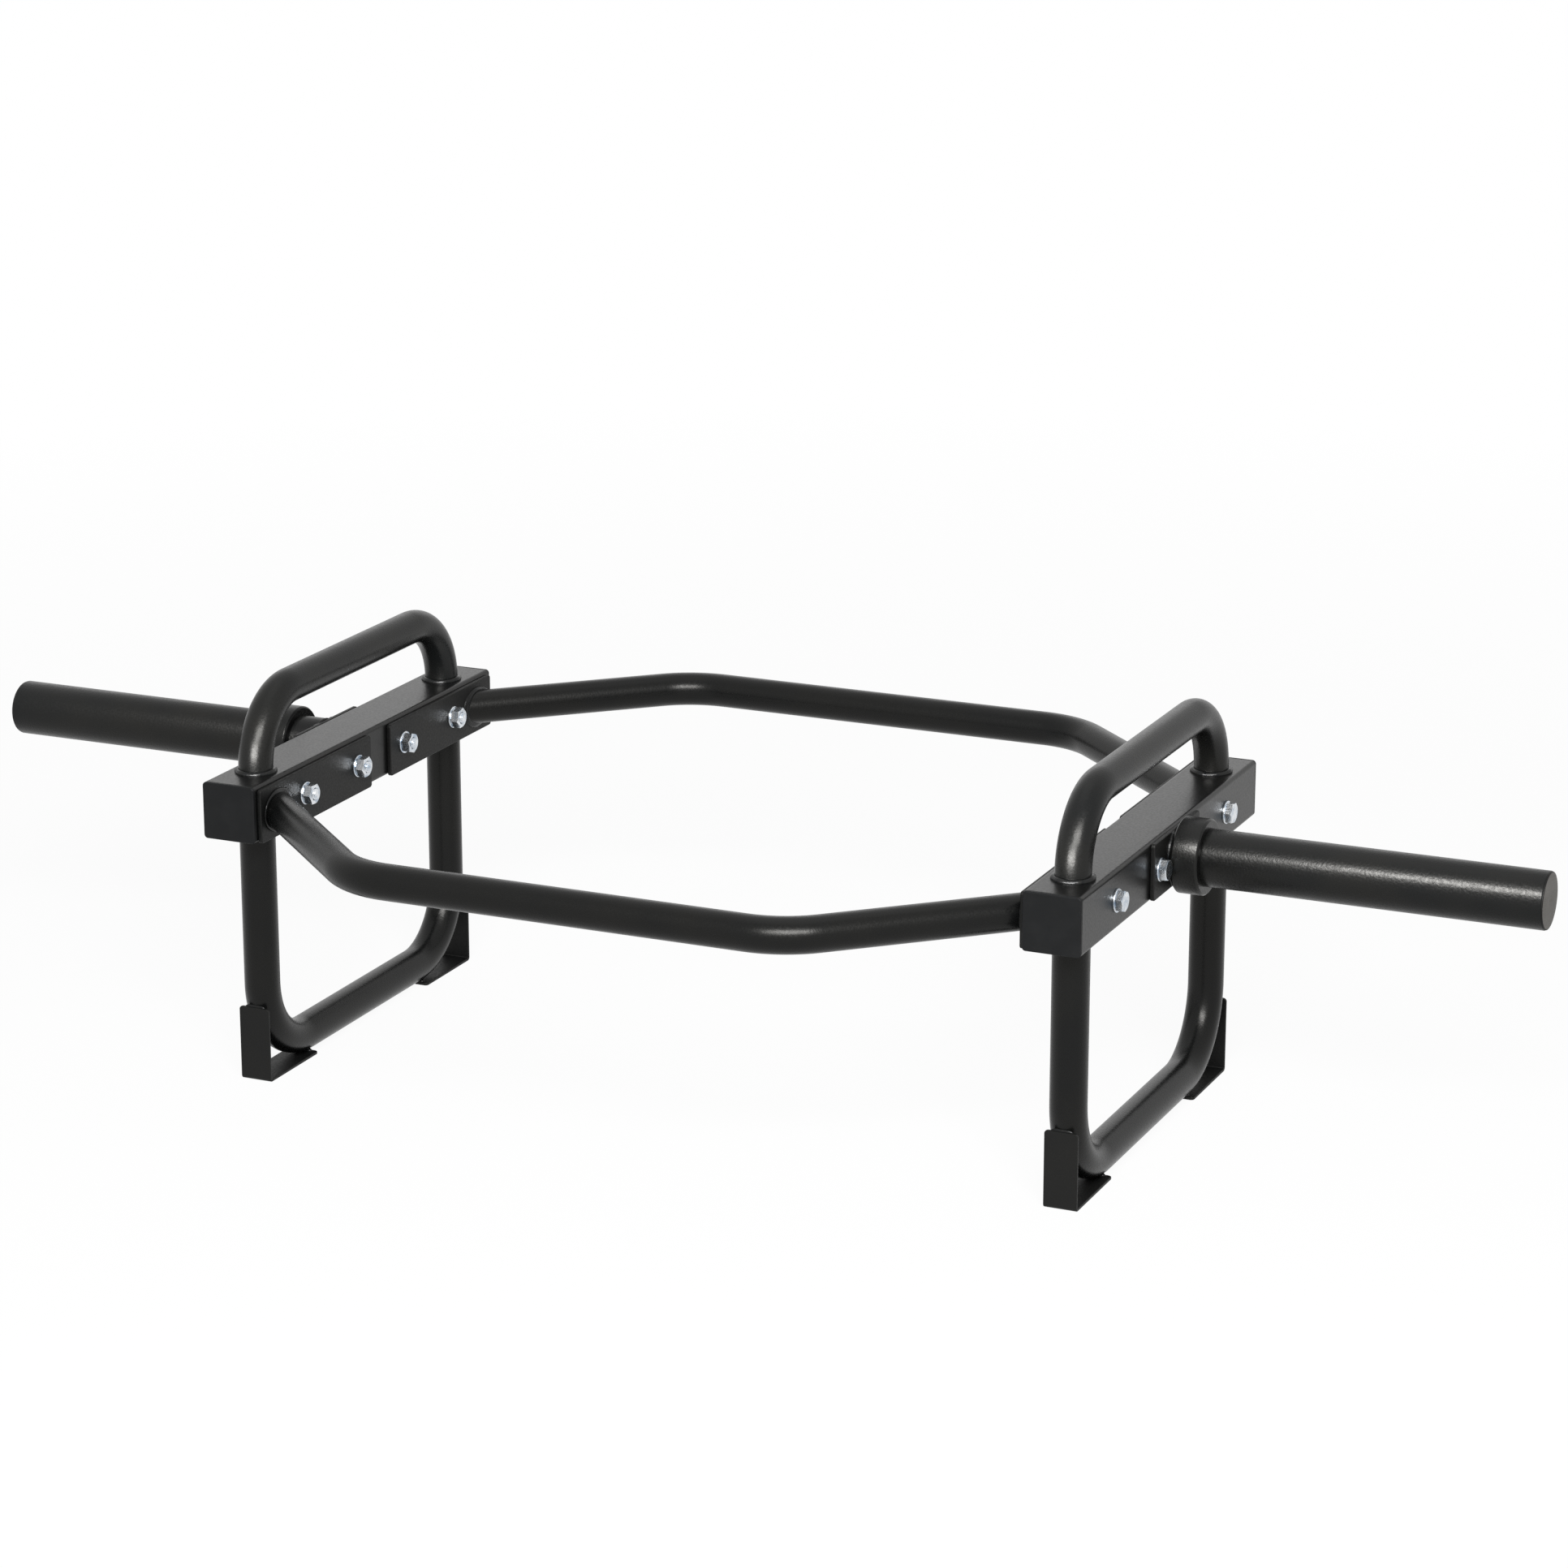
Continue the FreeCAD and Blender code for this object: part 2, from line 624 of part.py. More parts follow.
def make_sleeve(side, sign):
    """Tube with a chamfered end and a seat, a little smaller, for the collar."""
    sleeve = new_sleeve_body(f"{side}_sleeve", sign)
    chamfer = "Sizes.sleeve_end_chamfer"
    outline = new_sketch(sleeve, "XZ_Plane", "SleeveWall")
    polygon(
        outline,
        [
            (SLEEVE_PLATE_FACE, SLEEVE_BORE_RADIUS),
            (SLEEVE_END, SLEEVE_BORE_RADIUS),
            (SLEEVE_END, f"{SLEEVE_RADIUS} - {chamfer}"),
            (f"{SLEEVE_END} - {chamfer}", SLEEVE_RADIUS),
            (COLLAR_OUTER_FACE[side], SLEEVE_RADIUS),
            (COLLAR_OUTER_FACE[side], SLEEVE_ROOT_RADIUS),
            (SLEEVE_PLATE_FACE, SLEEVE_ROOT_RADIUS),
        ],
    )
    revolve(sleeve, outline)
    return sleeve


def make_sleeve_plate(side, sign):
    """Plate on the beam's outer face that carries the sleeve."""
    plate = new_body(
        f"{side}_sleeve_plate",
        x=BEAM_OUTER_FACE if sign > 0 else f"-{SLEEVE_PLATE_FACE}",
        z=BEAM_MIDDLE,
    )
    outline = new_sketch(plate, "YZ_Plane", "PlateOutline")
    corner = "Sizes.plate_corner_radius"
    rounded_rectangle(outline, "Sizes.sleeve_plate_length", "Sizes.sleeve_plate_height", corner)
    for bolt_y in ("-Sizes.bolt_inner_spacing / 2", "Sizes.bolt_inner_spacing / 2"):
        circle(outline, bolt_y, "0", "Sizes.bolt_hole_diameter")
    pad(plate, outline, "Sizes.sleeve_plate_thickness")
    return plate


def make_sleeve_collar(side, sign):
    """Stop ring with chamfered outer edges."""
    collar = new_sleeve_body(f"{side}_sleeve_collar", sign)
    chamfer = "Sizes.collar_chamfer"
    radius = "Sizes.collar_diameter / 2"
    inner_face = COLLAR_INNER_FACE[side]
    outer_face = COLLAR_OUTER_FACE[side]
    bore = f"{SLEEVE_ROOT_RADIUS} + Sizes.collar_clearance"
    outline = new_sketch(collar, "XZ_Plane", "CollarSection")
    polygon(
        outline,
        [
            (inner_face, bore),
            (outer_face, bore),
            (outer_face, f"{radius} - {chamfer}"),
            (f"{outer_face} - {chamfer}", radius),
            (f"{inner_face} + {chamfer}", radius),
            (inner_face, f"{radius} - {chamfer}"),
        ],
    )
    revolve(collar, outline)
    return collar


def make_sleeve_end_cap(side, sign):
    """Flat disc with a hollow plug inside the sleeve."""
    cap = new_sleeve_body(f"{side}_sleeve_end_cap", sign)
    rim = f"{SLEEVE_RADIUS} - Sizes.sleeve_cap_inset"
    plug = f"{SLEEVE_BORE_RADIUS} - Sizes.sleeve_cap_clearance"
    plug_end = f"{SLEEVE_END} - Sizes.sleeve_cap_plug_depth"
    outer_face = f"{SLEEVE_END} + Sizes.sleeve_cap_flange"
    hollow = f"{plug} - Sizes.sleeve_cap_plug_wall"
    outline = new_sketch(cap, "XZ_Plane", "CapSection")
    polygon(
        outline,
        [
            (SLEEVE_END, "0"),
            (outer_face, "0"),
            (outer_face, rim),
            (SLEEVE_END, rim),
            (SLEEVE_END, plug),
            (plug_end, plug),
            (plug_end, hollow),
            (SLEEVE_END, hollow),
        ],
    )
    revolve(cap, outline)
    return cap


# Four bolts a side with their washers and nuts


def make_bolts(side, sign):
    """Hexagon head bolts with their heads on the outside."""
    bolts = []
    tip = f"({NUT_SEAT} - Sizes.nut_height - Sizes.bolt_tip)"
    for bolt_y, surface in BOLTS:
        seat = f"({surface} + Sizes.washer_thickness)"
        where = (f"{sign} * {seat}", bolt_y, BEAM_MIDDLE)
        head_sizes = {"Circumradius": "Sizes.bolt_head_flats / sqrt(3)", "Height": "Sizes.bolt_head_height"}
        head = solid("Prism", "Head", head_sizes, *where, ALONG_X[sign])
        shank_sizes = {"Radius": "Sizes.bolt_diameter / 2", "Height": f"{seat} - {tip}"}
        shank = solid("Cylinder", "Shank", shank_sizes, *where, ALONG_X[-sign])
        bolts.append(union("Bolt", head, shank))
    return group(f"{side}_bolts", bolts)


def bored(name, blank, height, where):
    """A blank with a clear hole for a bolt, along the same axis."""
    bore = {"Radius": "Sizes.bolt_diameter / 2 + Sizes.thread_clearance", "Height": height}
    return difference(name, blank, solid("Cylinder", "Bore", bore, *where))


def make_washers(side, sign):
    """Flat washers under the bolt heads and under the nuts."""
    washers = []
    thickness = "Sizes.washer_thickness"
    disc_sizes = {"Radius": "Sizes.washer_diameter / 2", "Height": thickness}
    for bolt_y, surface in BOLTS:
        for face, way in ((surface, sign), (FLANGE_FACE, -sign)):
            where = (f"{sign} * {face}", bolt_y, BEAM_MIDDLE, ALONG_X[way])
            disc = solid("Cylinder", "Disc", disc_sizes, *where)
            washers.append(bored("Washer", disc, thickness, where))
    return group(f"{side}_washers", washers)


def make_nuts(side, sign):
    """Hexagon nuts on the inner side."""
    nuts = []
    height = "Sizes.nut_height"
    nut_sizes = {"Circumradius": "Sizes.nut_flats / sqrt(3)", "Height": height}
    for bolt_y, _ in BOLTS:
        where = (f"{sign} * {NUT_SEAT}", bolt_y, BEAM_MIDDLE, ALONG_X[-sign])
        hexagon = solid("Prism", "Hexagon", nut_sizes, *where)
        nuts.append(bored("Nut", hexagon, height, where))
    return group(f"{side}_nuts", nuts)


# Weld beads


def weld_ring(radius, x, y, z, rotation):
    """Sloped bead round the foot of a tube that stands square on a face."""
    clear = f"{radius} + Sizes.weld_clearance"
    height = "Sizes.weld_leg"
    cone_sizes = {
        "Radius1": f"{clear} + Sizes.weld_leg",
        "Radius2": f"{clear} + Sizes.weld_toe",
        "Height": height,
    }
    cone = solid("Cone", "Bead", cone_sizes, x, y, z, rotation)
    tube = solid("Cylinder", "BeadBore", {"Radius": clear, "Height": height}, x, y, z, rotation)
    return difference("WeldRing", cone, tube)


def make_leg_welds(side, sign, tube, level, rotation):
    """Beads round the two legs of a handle or a stand, on a face of the beam."""
    radius = f"Sizes.{tube}_diameter / 2"
    rings = []
    for _, direction in ENDS:
        leg_y = f"{direction} * Sizes.{tube}_leg_spacing / 2"
        rings.append(weld_ring(radius, f"{sign} * {BEAM_X}", leg_y, level, rotation))
    return group(f"{side}_{tube}_welds", rings)


def make_sleeve_weld(side, sign):
    """Bead round the root of a sleeve, as far as there is plate under it."""
    where = (f"{sign} * {SLEEVE_PLATE_FACE}", "0", SLEEVE_LEVEL, ALONG_X[sign])
    plate_sizes = {
        "Length": "Sizes.weld_leg",
        "Width": "Sizes.sleeve_plate_length",
        "Height": "Sizes.sleeve_plate_height",
    }
    start = SLEEVE_PLATE_FACE if sign > 0 else f"-({SLEEVE_PLATE_FACE} + Sizes.weld_leg)"
    front = "-Sizes.sleeve_plate_length / 2"
    bottom = f"{BEAM_MIDDLE} - Sizes.sleeve_plate_height / 2"
    weld = doc.addObject("Part::Common", f"{side}_sleeve_weld")
    weld.Base = weld_ring(SLEEVE_ROOT_RADIUS, *where)
    weld.Tool = solid("Box", "OverPlate", plate_sizes, start, front, bottom, UPRIGHT)
    return weld


def make_hex_welds(end, direction):
    """Beads round the slanted ends of a hex tube, each between two ellipses that follow its slope."""
    long_radius = f"Sizes.hex_diameter / 2 * sqrt(1 + {HEX_SLOPE}^2) + Sizes.weld_clearance"
    short_radius = "Sizes.hex_diameter / 2 + Sizes.weld_clearance"
    welds = []
    for _, sign in SIDES:
        solids = []
        for at_plate, at_tube in (("Sizes.weld_leg", "Sizes.weld_toe"), ("0", "0")):
            sections = []
            for height, growth in (("0", at_plate), ("Sizes.weld_leg", at_tube)):
                radii = {
                    "MajorRadius": f"{long_radius} + {growth}",
                    "MinorRadius": f"{short_radius} + {growth}",
                }
                x = f"{sign} * ({FLANGE_FACE} - {height})"
                y = f"{direction} * (Sizes.hex_end_spacing / 2 + {height} * {HEX_SLOPE})"
                sections.append(solid("Ellipse", "BeadSection", radii, x, y, HEX_LEVEL, ACROSS_X))
            solids.append(loft("Bead", sections))
        welds.append(difference("HexWeld", *solids))
    return group(f"{end}_hex_welds", welds)


def make_foot_welds(side, sign):
    """Half-round beads where the two free ends of each foot meet the stand's bend."""
    sizes = {"Radius": "Sizes.foot_weld_radius", "Height": "Sizes.foot_weld_length"}
    bend_sizes = {
        "Radius1": "Sizes.stand_bend_radius",
        "Radius2": "Sizes.stand_diameter / 2 + Sizes.weld_clearance",
    }
    start = f"{sign} * {BEAM_X} - Sizes.foot_weld_length / 2"
    upper_y = f"({FOOT_FACE} - Sizes.foot_thickness)"
    lower_y = f"({FOOT_FACE} - Sizes.foot_length + Sizes.foot_weld_radius)"
    welds = []
    for _, direction in ENDS:
        for bead_y, bead_z in ((upper_y, "Sizes.foot_height"), (lower_y, "Sizes.foot_thickness")):
            where = (start, f"{direction} * {bead_y}", bead_z)
            bead = solid("Cylinder", "FootBead", sizes, *where, ACROSS_X)
            bead.Angle = HALF_TURN
            bend_y = f"{direction} * {BEND_Y}"
            bend = solid("Torus", "Bend", bend_sizes, f"{sign} * {BEAM_X}", bend_y, BEND_Z, ALONG_X[1])
            welds.append(difference("FootWeld", bead, bend))
    return group(f"{side}_foot_welds", welds)


# The whole part

nodes = []
for end, direction in ENDS:
    nodes.append(make_hex_tube(end))
    nodes.append(make_hex_welds(end, direction))
    for side, sign in SIDES:
        nodes.append(make_flange_plate(end, direction, side, sign))
        nodes.append(make_beam_cap(side, sign, end, direction))
        nodes.append(make_foot(side, sign, end))
for side, sign in SIDES:
    nodes.append(make_side_beam(side, sign))
    nodes.append(make_handle(side, sign))
    nodes.append(make_stand(side, sign))
    nodes.append(make_sleeve(side, sign))
    nodes.append(make_sleeve_plate(side, sign))
    nodes.append(make_sleeve_collar(side, sign))
    nodes.append(make_sleeve_end_cap(side, sign))
    nodes.append(make_sleeve_weld(side, sign))
    nodes.append(make_bolts(side, sign))
    nodes.append(make_washers(side, sign))
    nodes.append(make_nuts(side, sign))
    nodes.append(make_leg_welds(side, sign, "handle", BEAM_TOP, UPRIGHT))
    nodes.append(make_leg_welds(side, sign, "stand", "Sizes.beam_underside", UPSIDE_DOWN))
    nodes.append(make_foot_welds(side, sign))
doc.recompute()

failed = [item.Label for item in doc.Objects if {"Invalid", "Error"} & set(item.State)]
unsound = [node.Label for node in nodes if node.Shape.isNull() or not node.Shape.isValid()]
if failed or unsound:
    raise RuntimeError(f"failed objects {failed}, unsound shapes {unsound}")
os.makedirs("parts", exist_ok=True)
for node in nodes:
    node.Shape.exportStep(os.path.join("parts", f"{node.Label}.step"))
print(f"{len(nodes)} nodes written")
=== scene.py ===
"""Looks of a hex trap bar, laid out as an add-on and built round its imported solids.

Each piece is a surface worked out with arrays, in metres, in the frame of the solids:
X along the weight sleeves, Y from front to rear, Z up from the floor.
"""

import json
import math

import bpy
import numpy as np
from bpy.props import FloatProperty, FloatVectorProperty, PointerProperty
from bpy.types import Operator, Panel, PropertyGroup
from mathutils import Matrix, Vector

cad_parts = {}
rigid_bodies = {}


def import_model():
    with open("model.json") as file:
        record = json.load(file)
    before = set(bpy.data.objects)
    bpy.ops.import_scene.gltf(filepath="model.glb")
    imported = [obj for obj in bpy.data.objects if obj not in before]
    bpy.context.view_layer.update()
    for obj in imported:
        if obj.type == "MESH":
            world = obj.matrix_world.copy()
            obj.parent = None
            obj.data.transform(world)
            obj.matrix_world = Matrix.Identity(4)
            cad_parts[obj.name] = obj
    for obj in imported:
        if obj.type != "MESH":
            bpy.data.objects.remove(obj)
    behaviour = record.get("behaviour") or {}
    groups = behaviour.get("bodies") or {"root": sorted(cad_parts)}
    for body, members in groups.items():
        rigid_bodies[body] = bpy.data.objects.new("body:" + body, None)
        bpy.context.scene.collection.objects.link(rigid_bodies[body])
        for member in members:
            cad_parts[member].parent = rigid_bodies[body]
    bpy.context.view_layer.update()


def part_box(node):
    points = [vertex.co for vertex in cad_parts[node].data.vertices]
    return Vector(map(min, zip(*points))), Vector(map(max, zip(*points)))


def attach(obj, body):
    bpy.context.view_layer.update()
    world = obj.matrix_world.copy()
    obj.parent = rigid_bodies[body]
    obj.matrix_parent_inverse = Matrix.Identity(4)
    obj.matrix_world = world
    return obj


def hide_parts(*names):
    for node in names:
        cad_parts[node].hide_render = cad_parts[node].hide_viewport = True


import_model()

bl_info = {
    "name": "Hex Trap Bar",
    "version": (1, 0, 0),
    "blender": (4, 5, 0),
    "location": "View3D > Sidebar > Trap Bar",
    "description": "Builds the visible pieces of a hex trap bar round its solids",
    "category": "Add Mesh",
}

SIDES = (("left", -1.0), ("right", 1.0))
ENDS = (("front", -1.0), ("rear", 1.0))
AXIS_X = np.array([1.0, 0.0, 0.0])
AXIS_Z = np.array([0.0, 0.0, 1.0])
FULL_TURN = 2 * math.pi
QUARTER = math.pi / 2

# Edges that turn by more than these angles are shaded sharp
CREASE = math.radians(32)
FASTENER_CREASE = math.radians(24)


# Settings


def length(name, description, default):
    """A size in metres for the sidebar."""
    return FloatProperty(name=name, description=description, default=default, unit="LENGTH", precision=5)


def colour(name, description, *default):
    """An opaque colour for the sidebar."""
    return FloatVectorProperty(
        name=name, description=description, default=(*default, 1.0), size=4, subtype="COLOR", min=0.0, max=1.0
    )


def share(name, description, default):
    """A number from nought to one for the sidebar."""
    return FloatProperty(
        name=name, description=description, default=default, min=0.0, max=1.0, subtype="FACTOR"
    )


def angle(name, description, degrees):
    """An angle for the sidebar."""
    return FloatProperty(name=name, description=description, default=math.radians(degrees), subtype="ANGLE")


class TubeSizes(PropertyGroup):
    """Sizes of the bent round tubes."""

    wall: length("Wall", "Wall of the bent tubes", 0.0025)
    handle_bend: length("Handle bend", "Bend radius of a handle's centre line", 0.062)
    stand_bend: length("Stand bend", "Bend radius of a stand's centre line", 0.070)
    hex_bend: length("Hex bend", "Bend radius of a hex tube's centre line", 0.081)
    hex_corner_spacing: length("Hex corners", "Distance between the corners of a hex tube", 0.395)
    hex_end_spacing: length("Hex ends", "Distance from the front to the rear tube at the plates", 0.373)


class PlateSizes(PropertyGroup):
    """Sizes of the square beams, their caps, the plates and the feet."""

    beam_corner: length("Beam corner", "Outer corner radius of the square tube", 0.0035)
    beam_wall: length("Beam wall", "Wall of the square tube", 0.003)
    beam_edge: length("Beam edge", "Rounding of the square tube's cut ends", 0.0004)
    cap_flange: length("Cap flange", "Thickness of a beam cap outside the tube", 0.003)
    cap_edge: length("Cap edge", "Rounding of a beam cap's outer edge", 0.0012)
    cap_seam: length("Cap seam", "Bevel of a beam cap's inner edge", 0.0004)
    cap_plug_wall: length("Plug wall", "Wall of a beam cap's plug", 0.0025)
    cap_clearance: length("Plug clearance", "Gap between a plug and its tube", 0.0002)
    plate_corner: length("Plate corner", "Corner radius of the bolted plates", 0.003)
    plate_edge: length("Plate edge", "Rounding of the coated plate edges", 0.0009)
    foot_thickness: length("Foot plate", "Thickness of the bent foot plates", 0.0025)
    foot_bend: length("Foot bend", "Inner bend radius of a foot", 0.001)
    foot_corner: length("Foot corner", "Corner radius of a foot's free ends", 0.003)
    foot_edge: length("Foot edge", "Rounding of the coated foot edges", 0.0006)


class SleeveSizes(PropertyGroup):
    """Sizes of the weight sleeves, their collars and end caps."""

    wall: length("Wall", "Wall of a sleeve", 0.003)
    end_chamfer: length("End chamfer", "Chamfer at a sleeve's outer end", 0.0005)
    seat_step: length("Collar seat", "Step in radius under a collar", 0.0004)
    collar_clearance: length("Collar clearance", "Gap between a collar and its seat", 0.0001)
    collar_chamfer: length("Collar chamfer", "Chamfer of a collar's outer edges", 0.0015)
    rim: length("Rim", "Rounding left on turned edges by the coat", 0.0005)
    cap_flange: length("Cap flange", "Thickness of an end cap outside its sleeve", 0.0012)
    cap_plug_wall: length("Plug wall", "Wall of an end cap's plug", 0.002)
    cap_clearance: length("Plug clearance", "Gap between an end cap's plug and its sleeve", 0.0002)
    cap_lap: length("Cap rim", "Width of the black rim of an end disc", 0.0008)


class FastenerSizes(PropertyGroup):
    """Sizes of the bolts, washers and nuts."""

    outer_spacing: length("Outer bolts", "Distance between the outer bolts of a side", 0.278)
    inner_spacing: length("Inner bolts", "Distance between the inner bolts of a side", 0.087)
    diameter: length("Bolt", "Thread diameter", 0.010)
    pitch: length("Pitch", "Thread pitch", 0.0015)
    thread_depth: length("Thread depth", "Depth of the thread", 0.0008)
    flats: length("Flats", "Width across the flats of heads and nuts", 0.017)
    head_height: length("Head", "Height of a bolt head", 0.0064)
    nut_height: length("Nut", "Height of a nut", 0.0084)
    nut_sink: length("Countersink", "Depth of a nut's countersink", 0.0009)
    washer_diameter: length("Washer", "Outer diameter of a washer", 0.0205)
    washer_thickness: length("Washer thickness", "Thickness of a washer", 0.002)
    clearance: length("Clearance", "Gap round the thread in nuts and washers", 0.0002)


class WeldSizes(PropertyGroup):
    """Sizes of the weld beads."""

    leg: length("Leg", "Reach of a bead along the plate and along the tube", 0.0034)
    root: length("Root", "Depth to which a bead runs under the surface", 0.0008)
    ripple_pitch: length("Ripple pitch", "Distance between two ripples along a bead", 0.0026)
    ripple: share("Ripple", "Height of a ripple as a share of the bead's leg", 0.006)
    foot_length: length("Foot bead", "Length of the beads on the feet", 0.020)
    foot_radius: length("Foot bead radius", "Radius of the beads on the feet", 0.003)


class FinishSettings(PropertyGroup):
    """Colours and gloss of the finishes."""

    coat: colour("Coat", "Black powder coat", 0.0022, 0.0025, 0.0027)
    coat_light: colour("Coat, lighter", "Lighter patches of the powder coat", 0.0040, 0.0040, 0.0037)
    plastic: colour("Plastic", "Black moulded plastic", 0.0052, 0.0056, 0.0060)
    plastic_worn: colour("Plastic, worn", "Rubbed patches of the plastic", 0.0076, 0.0080, 0.0084)
    disc: colour("End disc", "Dull grey plastic of the sleeve ends", 0.088, 0.083, 0.075)
    disc_worn: colour("End disc, worn", "Rubbed patches of the end discs", 0.118, 0.112, 0.103)
    zinc: colour("Zinc", "Bright zinc plate", 0.74, 0.76, 0.78)
    zinc_tint: colour("Zinc, tinted", "Bluish patches of the zinc plate", 0.38, 0.45, 0.53)
    coat_sheen: colour("Coat sheen", "Tint of the powder coat's reflections", 1.0, 0.985, 0.95)
    floor: colour("Floor", "Pale studio floor", 0.86, 0.86, 0.86)
    tube_gloss: share("Tube specular", "Specular level of the coat on the bent tubes", 0.2)
    sleeve_gloss: share("Sleeve specular", "Specular level of the coat on sleeves and collars", 0.19)
    beam_gloss: share("Beam specular", "Specular level of the coat on the side beams", 0.26)
    plate_gloss: share("Plate specular", "Specular level of the coat on plates and feet", 0.21)
    weld_gloss: share("Weld specular", "Specular level of the coat on the beads", 0.22)
    plastic_gloss: share("Plastic specular", "Specular level of the plastic", 0.15)


class StageSettings(PropertyGroup):
    """Camera and light."""

    camera_place: FloatVectorProperty(
        name="Camera", description="Place of the camera", default=(1.6296, -3.53131, 1.41078),
        size=3, subtype="TRANSLATION", unit="LENGTH",
    )
    camera_yaw: angle("Yaw", "Turn of the camera to the left", 24.115)
    camera_pitch: angle("Pitch", "Downward tilt of the camera", 16.31)
    lens: FloatProperty(
        name="Lens", description="Focal length on a 36 mm frame, in millimetres", default=105.07
    )
    world_light: share("World light", "Strength of the plain light from all round", 0.15)
    floor_glow: share("Floor glow", "Share of the floor's white that no shadow darkens by the bar", 0.94)
    floor_fade: length("Floor fade", "Distance from the bar at which the floor is all white", 3.0)


class TrapBarSettings(PropertyGroup):
    """All settings of the bar."""

    tubes: PointerProperty(type=TubeSizes, name="Tubes")
    plates: PointerProperty(type=PlateSizes, name="Plates")
    sleeves: PointerProperty(type=SleeveSizes, name="Sleeves")
    fasteners: PointerProperty(type=FastenerSizes, name="Fasteners")
    welds: PointerProperty(type=WeldSizes, name="Welds")
    finishes: PointerProperty(type=FinishSettings, name="Finishes")
    stage: PointerProperty(type=StageSettings, name="Stage")


# Places read from the solids


def extent(node):
    """Lowest and highest corner of a CAD node's box, half its size and its middle, as arrays."""
    low, high = np.array(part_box(node))
    return low, high, (high - low) / 2, (high + low) / 2


def reach_of(node):
    """Least and greatest distance of a CAD node on one side from the middle of the bar."""
    low, high, _, _ = extent(node)
    return np.sort(np.abs([low[0], high[0]]))


# Surfaces


def turns(steps):
    """Angles that divide a full turn evenly."""
    return np.arange(steps) * FULL_TURN / steps


def round_corners(corners, radii, steps, closed=False):
    """A flat outline whose corners are arcs, as points and directions.

    An arc starts a radius times the tangent of half the turn before its corner, and its points are
    the arc's centre plus the arm to its start, turned evenly through the corner's whole turn.
    """
    corners = np.asarray(corners, float)
    ahead = np.roll(corners, -1, axis=0) - corners
    ahead /= np.linalg.norm(ahead, axis=1)[:, None]
    behind = np.roll(ahead, 1, axis=0)
    if not closed:
        behind[0] = ahead[0]
        ahead[-1] = behind[-1]
    cross = behind[:, 0] * ahead[:, 1] - behind[:, 1] * ahead[:, 0]
    turn = np.arctan2(cross, (behind * ahead).sum(1))
    radii = np.broadcast_to(np.asarray(radii, float), len(corners))
    start = corners - behind * (radii * np.tan(np.abs(turn) / 2))[:, None]
    arm = np.stack([behind[:, 1], -behind[:, 0]], 1) * (np.sign(turn) * radii)[:, None]
    centre = start - arm
    bend = turn[:, None] * np.linspace(0, 1, steps)
    cos, sin = np.cos(bend)[..., None], np.sin(bend)[..., None]
    quarter_arm = np.stack([-arm[:, 1], arm[:, 0]], 1)
    quarter_way = np.stack([-behind[:, 1], behind[:, 0]], 1)
    points = centre[:, None] + cos * arm[:, None] + sin * quarter_arm[:, None]
    ways = cos * behind[:, None] + sin * quarter_way[:, None]
    # The two ends of an open line have no arc, so one point of each is kept
    kept = slice(None) if closed else slice(steps - 1, (len(corners) - 1) * steps + 1)
    return points.reshape(-1, 2)[kept], ways.reshape(-1, 2)[kept]


def rounded_rings(half_width, half_height, corner, steps=9, support=0.0004):
    """Rounded rectangles, one for each entry of the sizes, as rows of flat points.

    A quarter arc has its centre a corner radius inside both sides. One more point beyond each end
    of the arc, a support length along the straight side, keeps the flats flat when shaded smooth.
    """
    sizes = np.broadcast_arrays(*np.atleast_1d(half_width, half_height, corner))
    wide, high, radius = (size[:, None, None] for size in sizes)
    along = np.concatenate(([0.0], np.linspace(0, 1, steps), [1.0]))
    shift = np.zeros(steps + 2)
    shift[0], shift[-1] = -support, support
    bend = (np.arange(4)[:, None] + along) * QUARTER
    cos, sin = np.cos(bend), np.sin(bend)
    right = np.array([1, -1, -1, 1])[:, None]
    up = np.array([1, 1, -1, -1])[:, None]
    x = right * (wide - radius) + radius * cos - shift * sin
    y = up * (high - radius) + radius * sin + shift * cos
    return np.stack([x, y], -1).reshape(len(wide), -1, 2)


def inset_rings(half_width, half_height, corner, insets, least=0.001):
    """Rounded rectangles drawn in by insets, whose corner radii shrink with them down to a least one."""
    insets = np.asarray(insets, float)
    return rounded_rings(half_width - insets, half_height - insets, np.maximum(corner - insets, least))


def edge_rows(depth, edge, steps=5, support=0.0003):
    """Insets and depths that carry an outline over a round edge, along its side and over the other edge.

    On the edge the inset is the radius times one less the sine, the depth the radius times one less
    the cosine of an angle that runs over a quarter turn.
    """
    bend = np.linspace(0, QUARTER, steps)
    inset = np.concatenate(([edge + support], edge * (1 - np.sin(bend)), [0.0]))
    rise = np.concatenate(([0.0], edge * (1 - np.cos(bend)), [edge + support]))
    return np.concatenate([inset, inset[::-1]]), np.concatenate([rise, depth - rise[::-1]])


def set_along(rings, places, middle, axis):
    """Flat rings set round a middle at places along an axis."""
    points = np.insert(rings, axis, 0.0, axis=-1) + middle
    points[..., axis] = places[:, None]
    return points


